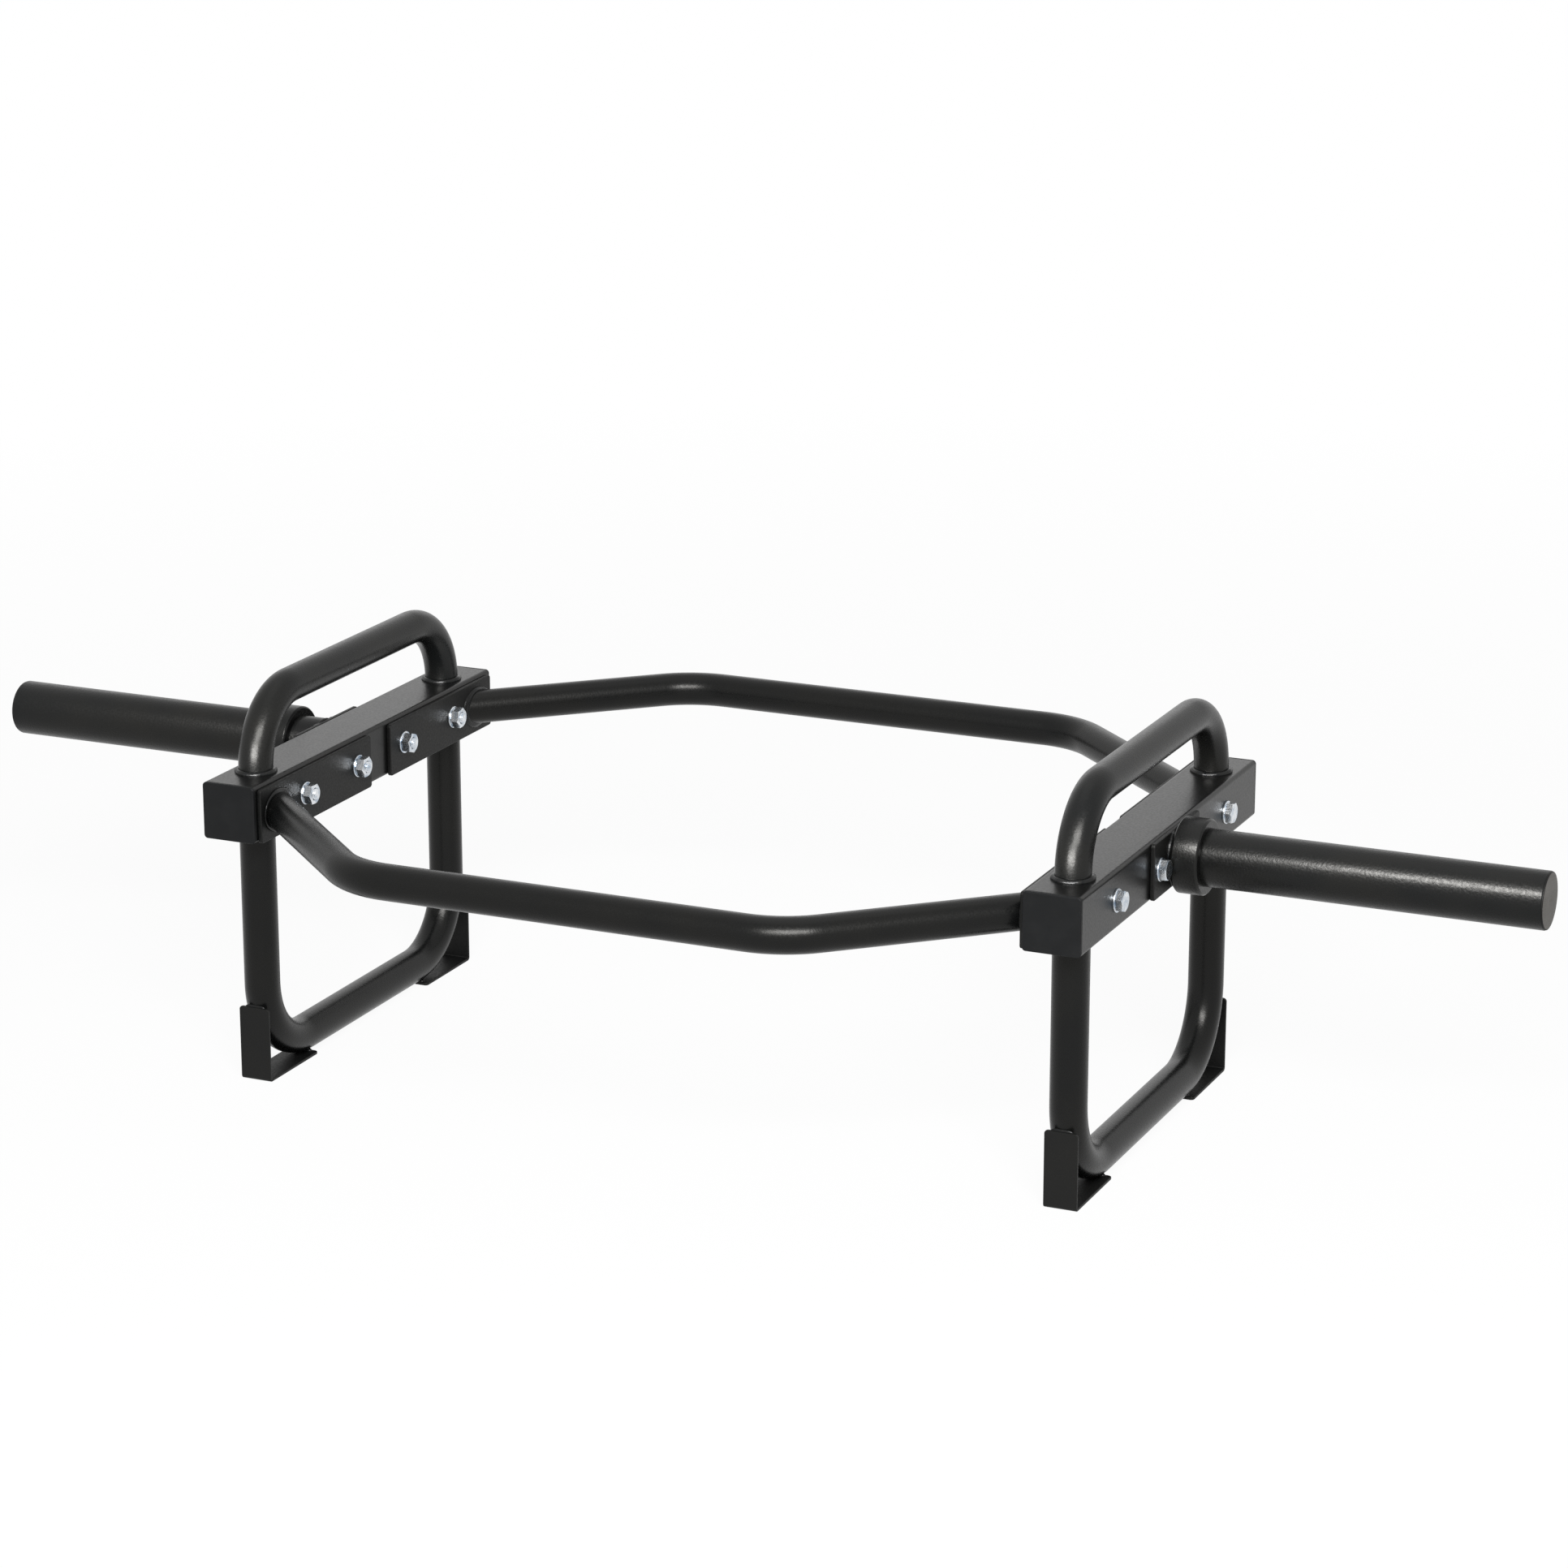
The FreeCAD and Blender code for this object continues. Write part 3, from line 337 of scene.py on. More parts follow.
def shell(points, loop=False):
    """A closed shell from a grid of rows whose columns close.

    The rows close too where they loop, and otherwise a flat face fills the first and the last ring.
    All faces are reversed where the volume they bound comes out negative.
    """
    rows, columns = points.shape[:2]
    row = np.arange(rows if loop else rows - 1)[:, None] * columns
    column = np.arange(columns)
    after = (column + 1) % columns
    following = (row + columns) % (rows * columns)
    quads = np.stack([row + column, row + after, following + after, following + column], -1).reshape(-1, 4)
    flat = points.reshape(-1, 3)
    triangles = [quads[:, [0, 1, 2]], quads[:, [0, 2, 3]]]
    caps = []
    if not loop:
        caps = [column[::-1], (rows - 1) * columns + column]
        triangles += [np.stack([np.full(columns - 2, cap[0]), cap[1:-1], cap[2:]], 1) for cap in caps]
    a, b, c = np.moveaxis((flat - flat.mean(0))[np.concatenate(triangles)], 1, 0)
    faces = quads.tolist() + [cap.tolist() for cap in caps]
    if (a * np.cross(b, c)).sum() < 0:
        faces = [face[::-1] for face in faces]
    return flat, faces


def swept_tube(path, ways, normal, radius, wall, steps=96):
    """A hollow tube carried along a flat path, as a grid that closes both ways.

    A ring is the path's point plus a radius times the cosine of an angle along the in-plane side
    and its sine along the plane's normal. The outer wall runs forward and the inner wall back.
    """
    around = turns(steps)
    side = np.cross(normal, ways)
    arms = np.cos(around)[:, None] * side[:, None] + np.sin(around)[:, None] * normal
    outer = path[:, None] + radius * arms
    inner = path[:, None] + (radius - wall) * arms
    return np.concatenate([outer, inner[::-1]])


def round_x(along, radius, around):
    """Points round X: a distance along it, and a radius times the cosine and the sine of an angle."""
    along, radius, around = np.broadcast_arrays(along, radius, around)
    return np.stack([along, radius * np.cos(around), radius * np.sin(around)], -1)


def turned(profile, rims, steps, fineness=128):
    """A closed flat profile of distances along X and from it, with rounded corners, turned round X."""
    outline = round_corners(profile, rims, steps, closed=True)[0]
    return round_x(outline[:, :1], outline[:, 1:], turns(fineness))


def hexagon(sizes, fineness=72):
    """Angles round a hexagon, its reach at each, the radius of its crown and the drop of its chamfer.

    The reach is half the flats over the cosine of the angle from a flat's middle. A cone of thirty
    degrees starts at the crown, just inside the flats, and cuts the corners: the sides end lower
    by the reach beyond the crown times the cone's slope.
    """
    sixth = math.pi / 3
    crown_share = 0.475
    around = turns(fineness)
    reach = sizes.flats / 2 / np.cos(np.mod(around + sixth / 2, sixth) - sixth / 2)
    crown = crown_share * sizes.flats
    return around, reach, crown, (reach - crown) * math.tan(math.radians(30))


def prism(heights, radii, around):
    """Rings round X whose heights and radii are numbers or follow the angle."""
    rows = [np.stack([np.broadcast_to(row, around.shape) for row in rings]) for rings in (heights, radii)]
    return round_x(*rows, around)


def placed(points, place, sign=1.0, spin=0.0):
    """Points turned round X by a spin, pointed along +X or -X by a sign and moved to a place."""
    cos, sin = math.cos(spin), math.sin(spin)
    x, y, z = np.moveaxis(points, -1, 0)
    return np.stack([sign * x, cos * y - sin * z, sin * y + cos * z], -1) + np.asarray(place)


def ripples_round(girth, sizes):
    """Number of ripples on a bead of some girth, and the angles of its points."""
    points_per_ripple = 10
    ripples = round(girth / sizes.ripple_pitch)
    return ripples, turns(ripples * points_per_ripple)


def bead(base, outward, along, leg, ripples, sizes, section=15):
    """A rippled weld bead on a closed line where a tube meets a face.

    Across the bead an angle runs over a quarter turn: a point lies its cosine of a leg outward on
    the face and its sine of a leg along the tube. The legs swell with the cosine of a phase that
    counts the ripples and lags in the middle of the bead, which bends each ripple to a crescent,
    and with two slow sines round the line. The section closes through a root under the surface.
    """
    lag = 1.9
    crowning = 0.10
    slow_waves = ((0.06, 3, 0.7), (0.05, 7, 2.1))
    across = np.linspace(0, QUARTER, section)[:, None]
    place = turns(len(base))
    crown = np.sin(2 * across)
    uneven = 1 + sum(height * np.sin(count * place + phase) for height, count, phase in slow_waves)
    ripple = sizes.ripple * np.sqrt(crown) * np.cos(ripples * place - lag * crown)
    swell = leg * uneven * (1 + ripple + crowning * crown)
    face = (swell * np.cos(across))[..., None] * outward
    tube = (swell * np.sin(across))[..., None] * along
    root = base - sizes.root * (outward + along)
    return shell(np.concatenate([base + face + tube, root[None]]), loop=True)


# Pieces


def add_piece(node, ending, shells, material, crease=CREASE):
    """Puts shells into one mesh that stands for a CAD node and rides on its body."""
    name = f"{node}_{ending}"
    counts = np.cumsum([0] + [len(points) for points, _ in shells])
    vertices = np.concatenate([points for points, _ in shells])
    faces = [[index + start for index in face] for (_, part), start in zip(shells, counts) for face in part]
    mesh = bpy.data.meshes.new(name)
    mesh.from_pydata(vertices.tolist(), [], faces)
    if mesh.validate():
        raise RuntimeError(f"{name}: the mesh had faulty faces")
    mesh.shade_smooth()
    mesh.set_sharp_from_angle(angle=crease)
    mesh.materials.append(material)
    piece = bpy.data.objects.new(name, mesh)
    bpy.context.scene.collection.objects.link(piece)
    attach(piece, "root")
    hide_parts(node)


# Finishes


def new_material(name):
    """An empty material, its nodes and links, and its shader."""
    material = bpy.data.materials.new(name)
    material.use_nodes = True
    tree = material.node_tree
    return material, tree, tree.nodes["Principled BSDF"]


def object_noise(tree, scale, detail):
    """Noise on the piece's own coordinates, in features per metre."""
    coordinates = tree.nodes.new("ShaderNodeTexCoord")
    noise = tree.nodes.new("ShaderNodeTexNoise")
    noise.inputs["Scale"].default_value = scale
    noise.inputs["Detail"].default_value = detail
    tree.links.new(coordinates.outputs["Object"], noise.inputs["Vector"])
    return noise.outputs["Fac"]


def spread(tree, source, low, high, at_low, at_high):
    """Maps a range of a source on to a range of values."""
    node = tree.nodes.new("ShaderNodeMapRange")
    for name, value in (("From Min", low), ("From Max", high), ("To Min", at_low), ("To Max", at_high)):
        node.inputs[name].default_value = value
    tree.links.new(source, node.inputs["Value"])
    return node.outputs["Result"]


def two_tone(tree, source, positions, tones):
    """Blends two colours between two positions on a noise."""
    ramp = tree.nodes.new("ShaderNodeValToRGB")
    for element, position, tone in zip(ramp.color_ramp.elements, positions, tones):
        element.position = position
        element.color = tone
    tree.links.new(source, ramp.inputs["Fac"])
    return ramp.outputs["Color"]


def distance_from(tree, source):
    """Length of a vector in a material."""
    node = tree.nodes.new("ShaderNodeVectorMath")
    node.operation = "LENGTH"
    tree.links.new(source, node.inputs[0])
    return node.outputs["Value"]


def finish(name, values, tones, clouds, blend, grain, swing, roughness, peel, depth):
    """A finish made of two noises, each given by its scale and detail.

    Clouds blend two tones. A grain sets the roughness, over its own swing, and a relief whose
    strength is the peel and whose height is the depth. Values go straight to the shader.
    """
    if name in bpy.data.materials:
        return bpy.data.materials[name]
    material, tree, shader = new_material(name)
    for socket, value in values.items():
        shader.inputs[socket].default_value = value
    tone = two_tone(tree, object_noise(tree, *clouds), blend, tones)
    height = object_noise(tree, *grain)
    bump = tree.nodes.new("ShaderNodeBump")
    bump.inputs["Strength"].default_value = peel
    bump.inputs["Distance"].default_value = depth
    tree.links.new(height, bump.inputs["Height"])
    tree.links.new(tone, shader.inputs["Base Color"])
    tree.links.new(spread(tree, height, *swing, *roughness), shader.inputs["Roughness"])
    tree.links.new(bump.outputs["Normal"], shader.inputs["Normal"])
    return material


def powder_coat(settings, name, gloss, roughness, peel=0.15):
    """Satin black powder coat with a cloudy tone and fine orange-peel grain."""
    return finish(
        name, {"Specular IOR Level": gloss, "Specular Tint": settings.coat_sheen},
        (settings.coat, settings.coat_light), clouds=(14.0, 3.0), blend=(0.35, 0.70),
        grain=(520.0, 1.0), swing=(0.30, 0.70), roughness=roughness, peel=peel, depth=0.0005,
    )


def tube_coat(settings):
    """The coat as it lies on the tubes."""
    return powder_coat(settings, "tube_coat", settings.tube_gloss, (0.25, 0.33))


def sleeve_coat(settings):
    """The coat on the sleeves and collars, with a deeper grain than on the tubes."""
    return powder_coat(settings, "sleeve_coat", settings.sleeve_gloss, (0.27, 0.35), peel=0.26)


def beam_coat(settings):
    """The coat on the side beams."""
    return powder_coat(settings, "beam_coat", settings.beam_gloss, (0.28, 0.36))


def plate_coat(settings):
    """The coat on plates and feet, dull on the rolled surface."""
    return powder_coat(settings, "plate_coat", settings.plate_gloss, (0.46, 0.58))


def weld_coat(settings):
    """Powder coat on the beads, lumpy where it flows over the ripples."""
    lumps = (260.0, 1.0)
    return finish(
        "weld_coat", {"Specular IOR Level": settings.weld_gloss}, (settings.coat, settings.coat_light),
        clouds=lumps, blend=(0.3, 0.7), grain=lumps, swing=(0.30, 0.70),
        roughness=(0.24, 0.36), peel=0.20, depth=0.0005,
    )


def moulded_plastic(settings, name, tones):
    """Dull plastic with a fine spark-eroded texture and rubbed patches."""
    return finish(
        name, {"Specular IOR Level": settings.plastic_gloss}, tones,
        clouds=(55.0, 4.0), blend=(0.45, 0.75), grain=(1500.0, 1.0), swing=(0.30, 0.70),
        roughness=(0.44, 0.60), peel=0.15, depth=0.0004,
    )


def end_disc(settings, radius, level, lap):
    """Grey plastic of the sleeve ends, black where the coat laps over its rim.

    The coat lies where the distance from the sleeve's axis passes the disc's radius less the lap.
    """
    name = "end_disc_plastic"
    if name in bpy.data.materials:
        return bpy.data.materials[name]
    material = moulded_plastic(settings, name, (settings.disc, settings.disc_worn))
    tree = material.node_tree
    tone = tree.nodes["Principled BSDF"].inputs["Base Color"]
    coordinates = tree.nodes.new("ShaderNodeTexCoord")
    centred = tree.nodes.new("ShaderNodeMapping")
    centred.inputs["Location"].default_value = (0.0, 0.0, -level)
    centred.inputs["Scale"].default_value = (0.0, 1.0, 1.0)
    tree.links.new(coordinates.outputs["Object"], centred.inputs["Vector"])
    distance = distance_from(tree, centred.outputs["Vector"])
    soft = 0.2 * lap
    lapping = spread(tree, distance, radius - lap - soft, radius - lap + soft, 0.0, 1.0)
    lapped = tree.nodes.new("ShaderNodeMix")
    lapped.data_type = "RGBA"
    # A mix node's colour sockets come after those for numbers and vectors
    disc, coat, mixed = lapped.inputs[6], lapped.inputs[7], lapped.outputs[2]
    coat.default_value = settings.coat_light
    tree.links.new(tone.links[0].from_socket, disc)
    tree.links.new(lapping, lapped.inputs["Factor"])
    tree.links.new(mixed, tone)
    return material


def zinc_plate(settings):
    """Bright zinc plate with bluish patches, fine scratches of gloss and small dents."""
    return finish(
        "zinc_plate", {"Metallic": 1.0}, (settings.zinc, settings.zinc_tint),
        clouds=(160.0, 3.0), blend=(0.40, 0.68), grain=(1100.0, 3.0), swing=(0.30, 0.75),
        roughness=(0.18, 0.34), peel=0.12, depth=0.0004,
    )


# Operators, one for each piece or group of like pieces


class TRAPBAR_OT_u_tubes(Operator):
    """Builds the handles and the stands."""

    bl_idname = "trapbar.u_tubes"
    bl_label = "Handles and stands"

    def execute(self, context):
        settings = context.scene.trap_bar
        sizes = settings.tubes
        coat = tube_coat(settings.finishes)
        for side, _ in SIDES:
            for tube, bend in (("handle", sizes.handle_bend), ("stand", sizes.stand_bend)):
                node = f"{side}_{tube}"
                low, high, half, middle = extent(node)
                radius = half[0]
                leg = high[1] - radius
                end, run = (low[2], high[2] - radius) if tube == "handle" else (high[2], low[2] + radius)
                route = [(-leg, end), (-leg, run), (leg, run), (leg, end)]
                flat, ways = round_corners(route, bend, steps=33)
                path = np.insert(flat, 0, middle[0], axis=1)
                points = swept_tube(path, np.insert(ways, 0, 0.0, axis=1), AXIS_X, radius, sizes.wall)
                add_piece(node, "tube", [shell(points, loop=True)], coat)
        return {"FINISHED"}


def hex_ends(end, way, sizes):
    """Radius and level of a hex tube, its plates' distance, its run's and its ends' places along Y."""
    low, high, half, middle = extent(f"{end}_hex_tube")
    radius = half[2]
    run = low[1] + radius if way < 0 else high[1] - radius
    return radius, middle[2], high[0], run, way * sizes.hex_end_spacing / 2


class TRAPBAR_OT_hex_tubes(Operator):
    """Builds the two half hexagons with their ends cut flat on the plates."""

    bl_idname = "trapbar.hex_tubes"
    bl_label = "Hex tubes"

    def execute(self, context):
        settings = context.scene.trap_bar
        sizes = settings.tubes
        coat = tube_coat(settings.finishes)
        corner = sizes.hex_corner_spacing / 2
        for end, way in ENDS:
            radius, level, plate, run, meeting = hex_ends(end, way, sizes)
            route = [(-plate, meeting), (-corner, run), (corner, run), (plate, meeting)]
            flat, ways = round_corners(route, sizes.hex_bend, steps=25)
            path = np.insert(flat, 2, level, axis=1)
            direction = np.insert(ways, 2, 0.0, axis=1)
            points = swept_tube(path, direction, AXIS_Z, radius, sizes.wall)
            # The rings at both ends, outer and inner, slide along the tube on to the plates
            last = len(path) - 1
            for ring, at in ((0, 0), (-1, 0), (last, last), (last + 1, last)):
                slide = (np.sign(path[at, 0]) * plate - points[ring, :, 0]) / direction[at, 0]
                points[ring] += slide[:, None] * direction[at]
            add_piece(f"{end}_hex_tube", "bent", [shell(points, loop=True)], coat)
        return {"FINISHED"}


class TRAPBAR_OT_beams(Operator):
    """Builds the square side beams."""

    bl_idname = "trapbar.beams"
    bl_label = "Side beams"

    def execute(self, context):
        settings = context.scene.trap_bar
        sizes = settings.plates
        coat = beam_coat(settings.finishes)
        for side, _ in SIDES:
            node = f"{side}_side_beam"
            low, _, half, middle = extent(node)
            insets, depths = edge_rows(2 * half[1], sizes.beam_edge)
            insets = np.concatenate([insets[1:-1], [sizes.beam_wall, sizes.beam_wall]])
            depths = np.concatenate([depths[1:-1], [2 * half[1], 0.0]])
            rings = inset_rings(half[0], half[2], sizes.beam_corner, insets)
            points = set_along(rings, low[1] + depths, middle, 1)
            add_piece(node, "tube", [shell(points, loop=True)], coat)
        return {"FINISHED"}


class TRAPBAR_OT_beam_caps(Operator):
    """Builds the plastic caps in the ends of the beams, each with its hollow plug."""

    bl_idname = "trapbar.beam_caps"
    bl_label = "Beam caps"

    def execute(self, context):
        settings = context.scene.trap_bar
        sizes = settings.plates
        finishes = settings.finishes
        tones = (finishes.plastic, finishes.plastic_worn)
        plastic = moulded_plastic(finishes, "beam_cap_plastic", tones)
        flange, seam = sizes.cap_flange, sizes.cap_seam
        plug = sizes.beam_wall + sizes.cap_clearance
        hollow = plug + sizes.cap_plug_wall
        insets, depths = edge_rows(flange, sizes.cap_edge, steps=7)
        rising = len(insets) // 2
        insets = np.concatenate([insets[:rising], [0.0, seam, plug, plug, hollow, hollow]])
        for side, _ in SIDES:
            for end, way in ENDS:
                node = f"{side}_{end}_beam_cap"
                low, high, half, middle = extent(node)
                face = low[1] if way < 0 else high[1]
                depth = high[1] - low[1]
                inside = [flange - seam, flange, flange, depth, depth, flange]
                rings = inset_rings(half[0], half[2], sizes.beam_corner, insets)
                places = face - way * np.concatenate([depths[:rising], inside])
                points = set_along(rings, places, middle, 1)
                add_piece(node, "moulding", [shell(points)], plastic)
        return {"FINISHED"}


class TRAPBAR_OT_plates(Operator):
    """Builds the flange plates and the sleeve plates."""

    bl_idname = "trapbar.plates"
    bl_label = "Bolted plates"

    def execute(self, context):
        settings = context.scene.trap_bar
        sizes = settings.plates
        coat = plate_coat(settings.finishes)
        nodes = [f"{side}_sleeve_plate" for side, _ in SIDES]
        nodes += [f"{end}_{side}_flange_plate" for end, _ in ENDS for side, _ in SIDES]
        for node in nodes:
            low, _, half, middle = extent(node)
            insets, depths = edge_rows(2 * half[0], sizes.plate_edge)
            rings = inset_rings(half[1], half[2], sizes.plate_corner, insets)
            points = set_along(rings, low[0] + depths, middle, 0)
            add_piece(node, "blank", [shell(points)], coat)
        return {"FINISHED"}


def foot_line(side, end, way):
    """Box of a foot, and the places along Y of its outer face and of its free end."""
    low, high, half, middle = extent(f"{side}_{end}_foot")
    outer, tail = (low[1], high[1]) if way < 0 else (high[1], low[1])
    return high, half, middle, outer, tail


class TRAPBAR_OT_feet(Operator):
    """Builds the bent foot plates.

    A rounded rectangle is carried along the plate's bent middle line. Near both free ends it narrows
    by the corner radius times one less the sine of an angle, over a distance of the radius times one
    less its cosine, which rounds the corners.
    """

    bl_idname = "trapbar.feet"
    bl_label = "Feet"

    def execute(self, context):
        settings = context.scene.trap_bar
        sizes = settings.plates
        coat = plate_coat(settings.finishes)
        half_thick = sizes.foot_thickness / 2
        steps = 9
        bend = np.linspace(0, QUARTER, steps)
        reach = sizes.foot_corner * (1 - np.cos(bend))
        narrowing = sizes.foot_corner * (1 - np.sin(bend))
        for side, _ in SIDES:
            for end, way in ENDS:
                high, half, middle, outer, tail = foot_line(side, end, way)
                upright = outer - way * half_thick
                route = [(upright, high[2]), (upright, half_thick), (tail, half_thick)]
                flat, ways = round_corners(route, sizes.foot_bend + half_thick, steps=13)
                first = flat[0] + ways[0] * reach[:, None]
                last = flat[-1] - ways[-1] * reach[::-1, None]
                path = np.concatenate([first, flat[1:-1], last])
                repeats = np.ones(len(ways), int)
                repeats[[0, -1]] = steps
                ways = np.repeat(ways, repeats, 0)
                half_width = np.full(len(path), half[0])
                half_width[:steps] -= narrowing
                half_width[-steps:] -= narrowing[::-1]
                rings = rounded_rings(half_width, half_thick, sizes.foot_edge, steps=5, support=0.0002)
                across = np.stack([-ways[:, 1], ways[:, 0]], 1)
                flat_points = path[:, None] + rings[..., 1:] * across[:, None]
                points = np.concatenate([middle[0] + rings[..., :1], flat_points], -1)
                add_piece(f"{side}_{end}_foot", "bent", [shell(points)], coat)
        return {"FINISHED"}


class TRAPBAR_OT_sleeves(Operator):
    """Builds the weight sleeves and their stop collars as turned profiles with eased edges."""

    bl_idname = "trapbar.sleeves"
    bl_label = "Sleeves and collars"

    def execute(self, context):
        settings = context.scene.trap_bar
        sizes = settings.sleeves
        coat = sleeve_coat(settings.finishes)
        sleeve_rim_shares = np.array([0.3, 0.3, 0.8, 1.2, 0.1, 0.1, 0.3])
        collar_rim_shares = np.array([0.4, 0.4, 1.6, 2.4, 2.4, 1.6])
        for side, sign in SIDES:
            node = f"{side}_sleeve"
            root, tip = reach_of(node)
            inner, outer = reach_of(f"{node}_collar")
            _, _, half, middle = extent(node)
            axis = (0.0, 0.0, middle[2])
            radius = half[1]
            big = extent(f"{node}_collar")[2][1]
            seat = radius - sizes.seat_step
            bore = radius - sizes.wall
            chamfer = sizes.end_chamfer
            profile = [
                (root, bore), (tip, bore), (tip, radius - chamfer), (tip - chamfer, radius),
                (outer, radius), (outer, seat), (root, seat),
            ]
            points = placed(turned(profile, sleeve_rim_shares * sizes.rim, steps=5), axis, sign)
            add_piece(node, "tube", [shell(points, loop=True)], coat)
            chamfer = sizes.collar_chamfer
            hole = seat + sizes.collar_clearance
            profile = [
                (inner, hole), (outer, hole), (outer, big - chamfer), (outer - chamfer, big),
                (inner + chamfer, big), (inner, big - chamfer),
            ]
            points = placed(turned(profile, collar_rim_shares * sizes.rim, steps=6), axis, sign)
            add_piece(f"{node}_collar", "ring", [shell(points, loop=True)], coat)
        return {"FINISHED"}


class TRAPBAR_OT_sleeve_caps(Operator):
    """Builds the plastic discs that close the sleeves, each with its hollow plug."""

    bl_idname = "trapbar.sleeve_caps"
    bl_label = "Sleeve end caps"

    def execute(self, context):
        settings = context.scene.trap_bar
        sizes = settings.sleeves
        centre = 0.001
        steps = 6
        rim_shares = np.array([0.2, 0.2, 1.6, 0.4, 0.4, 0.6, 0.6, 0.4])
        for side, sign in SIDES:
            node = f"{side}_sleeve_end_cap"
            back, face = reach_of(node)
            _, _, half, middle = extent(node)
            radius = half[1]
            plastic = end_disc(settings.finishes, radius, middle[2], sizes.cap_lap)
            plug = extent(f"{side}_sleeve")[2][1] - sizes.wall - sizes.cap_clearance
            hollow = plug - sizes.cap_plug_wall
            seat = face - sizes.cap_flange
            profile = [
                (seat, centre), (face, centre), (face, radius), (seat, radius),
                (seat, plug), (back, plug), (back, hollow), (seat, hollow),
            ]
            # Without the first corner, flat faces fill the disc's centre and the floor of the plug
            points = turned(profile, rim_shares * sizes.rim, steps)[steps:]
            shells = [shell(placed(points, (0.0, 0.0, middle[2]), sign))]
            add_piece(node, "moulding", shells, plastic)
        return {"FINISHED"}


def bolt_places(side, sizes):
    """Each bolt's place along the beam, the face under its head's washer, and its spin."""
    outer, inner = sizes.outer_spacing / 2, sizes.inner_spacing / 2
    beam = reach_of(f"{side}_side_beam")[1]
    plate = reach_of(f"{side}_sleeve_plate")[1]
    return ((-outer, beam, 0.21), (-inner, plate, 0.30), (inner, plate, 0.95), (outer, beam, 0.40))


def thread(sizes, start, end, steps=48, rows_per_pitch=8):
    """A threaded rod along X from a start down to an end.

    The radius drops from the full one by the thread's depth times a triangle wave of the distance
    along the axis in pitches less the angle in turns, and a cone at the tip takes off the rest.
    """
    rows = int(rows_per_pitch * abs(end - start) / sizes.pitch)
    along = np.linspace(start, end, rows)[:, None]
    around = turns(steps)
    wave = np.abs(2 * np.mod(along / sizes.pitch - around / FULL_TURN, 1.0) - 1)
    radius = sizes.diameter / 2 - sizes.thread_depth * wave
    radius = np.minimum(radius, sizes.diameter / 2 - sizes.thread_depth + np.abs(along - end))
    return round_x(along, radius, around)


class TRAPBAR_OT_bolts(Operator):
    """Builds the hexagon head bolts with their threads."""

    bl_idname = "trapbar.bolts"
    bl_label = "Bolts"

    def execute(self, context):
        settings = context.scene.trap_bar
        sizes = settings.fasteners
        zinc = zinc_plate(settings.finishes)
        top = sizes.head_height
        foot_share, dish_share = 0.97, 0.92
        foot_height, dish_depth = 0.0003, 0.0001
        around, reach, crown, drop = hexagon(sizes)
        head = prism(
            [0.0, foot_height, top - drop, top, top - dish_depth],
            [foot_share * reach, reach, reach, crown, dish_share * crown], around,
        )
        for side, sign in SIDES:
            node = f"{side}_bolts"
            level = extent(node)[3][2]
            tip = reach_of(node)[0]
            shells = []
            for y, face, spin in bolt_places(side, sizes):
                seat = face + sizes.washer_thickness
                shells.append(shell(placed(head, (sign * seat, y, level), sign, spin)))
                shells.append(shell(placed(thread(sizes, seat, tip), (0.0, y, level), sign, spin)))
            add_piece(node, "set", shells, zinc, FASTENER_CREASE)
        return {"FINISHED"}


class TRAPBAR_OT_nuts(Operator):
    """Builds the hexagon nuts, chamfered on both faces like the heads and countersunk round the thread."""

    bl_idname = "trapbar.nuts"
    bl_label = "Nuts"

    def execute(self, context):
        settings = context.scene.trap_bar
        sizes = settings.fasteners
        zinc = zinc_plate(settings.finishes)
        top, sink = sizes.nut_height, sizes.nut_sink
        bore = sizes.diameter / 2 + sizes.clearance
        nut_turn = 0.3
        around, reach, crown, drop = hexagon(sizes)
        nut = prism(
            [sink, 0.0, 0.0, drop, top - drop, top, top, top - sink],
            [bore, bore + sink, crown, reach, reach, crown, bore + sink, bore], around,
        )
        for side, sign in SIDES:
            node = f"{side}_nuts"
            level = extent(node)[3][2]
            seat = reach_of(node)[1]
            shells = [
                shell(placed(nut, (sign * seat, y, level), -sign, spin + nut_turn), loop=True)
                for y, _, spin in bolt_places(side, sizes)
            ]
            add_piece(node, "set", shells, zinc, FASTENER_CREASE)
        return {"FINISHED"}


class TRAPBAR_OT_washers(Operator):
    """Builds the flat washers under the heads and the nuts as turned rings with stamped, round edges."""

    bl_idname = "trapbar.washers"
    bl_label = "Washers"

    def execute(self, context):
        settings = context.scene.trap_bar
        sizes = settings.fasteners
        zinc = zinc_plate(settings.finishes)
        bore = sizes.diameter / 2 + sizes.clearance
        rim = sizes.washer_diameter / 2
        thick = sizes.washer_thickness
        profile = [(0.0, bore), (thick, bore), (thick, rim), (0.0, rim)]
        stamped_edges = [0.0002, 0.0004, 0.0006, 0.0002]
        ring = turned(profile, stamped_edges, steps=5, fineness=64)
        for side, sign in SIDES:
            node = f"{side}_washers"
            level = extent(node)[3][2]
            inner = reach_of(node)[0] + thick
            shells = [
                shell(placed(ring, (sign * seat, y, level), way, spin), loop=True)
                for y, face, spin in bolt_places(side, sizes)
                for seat, way in ((face, sign), (inner, -sign))
            ]
            add_piece(node, "set", shells, zinc)
        return {"FINISHED"}


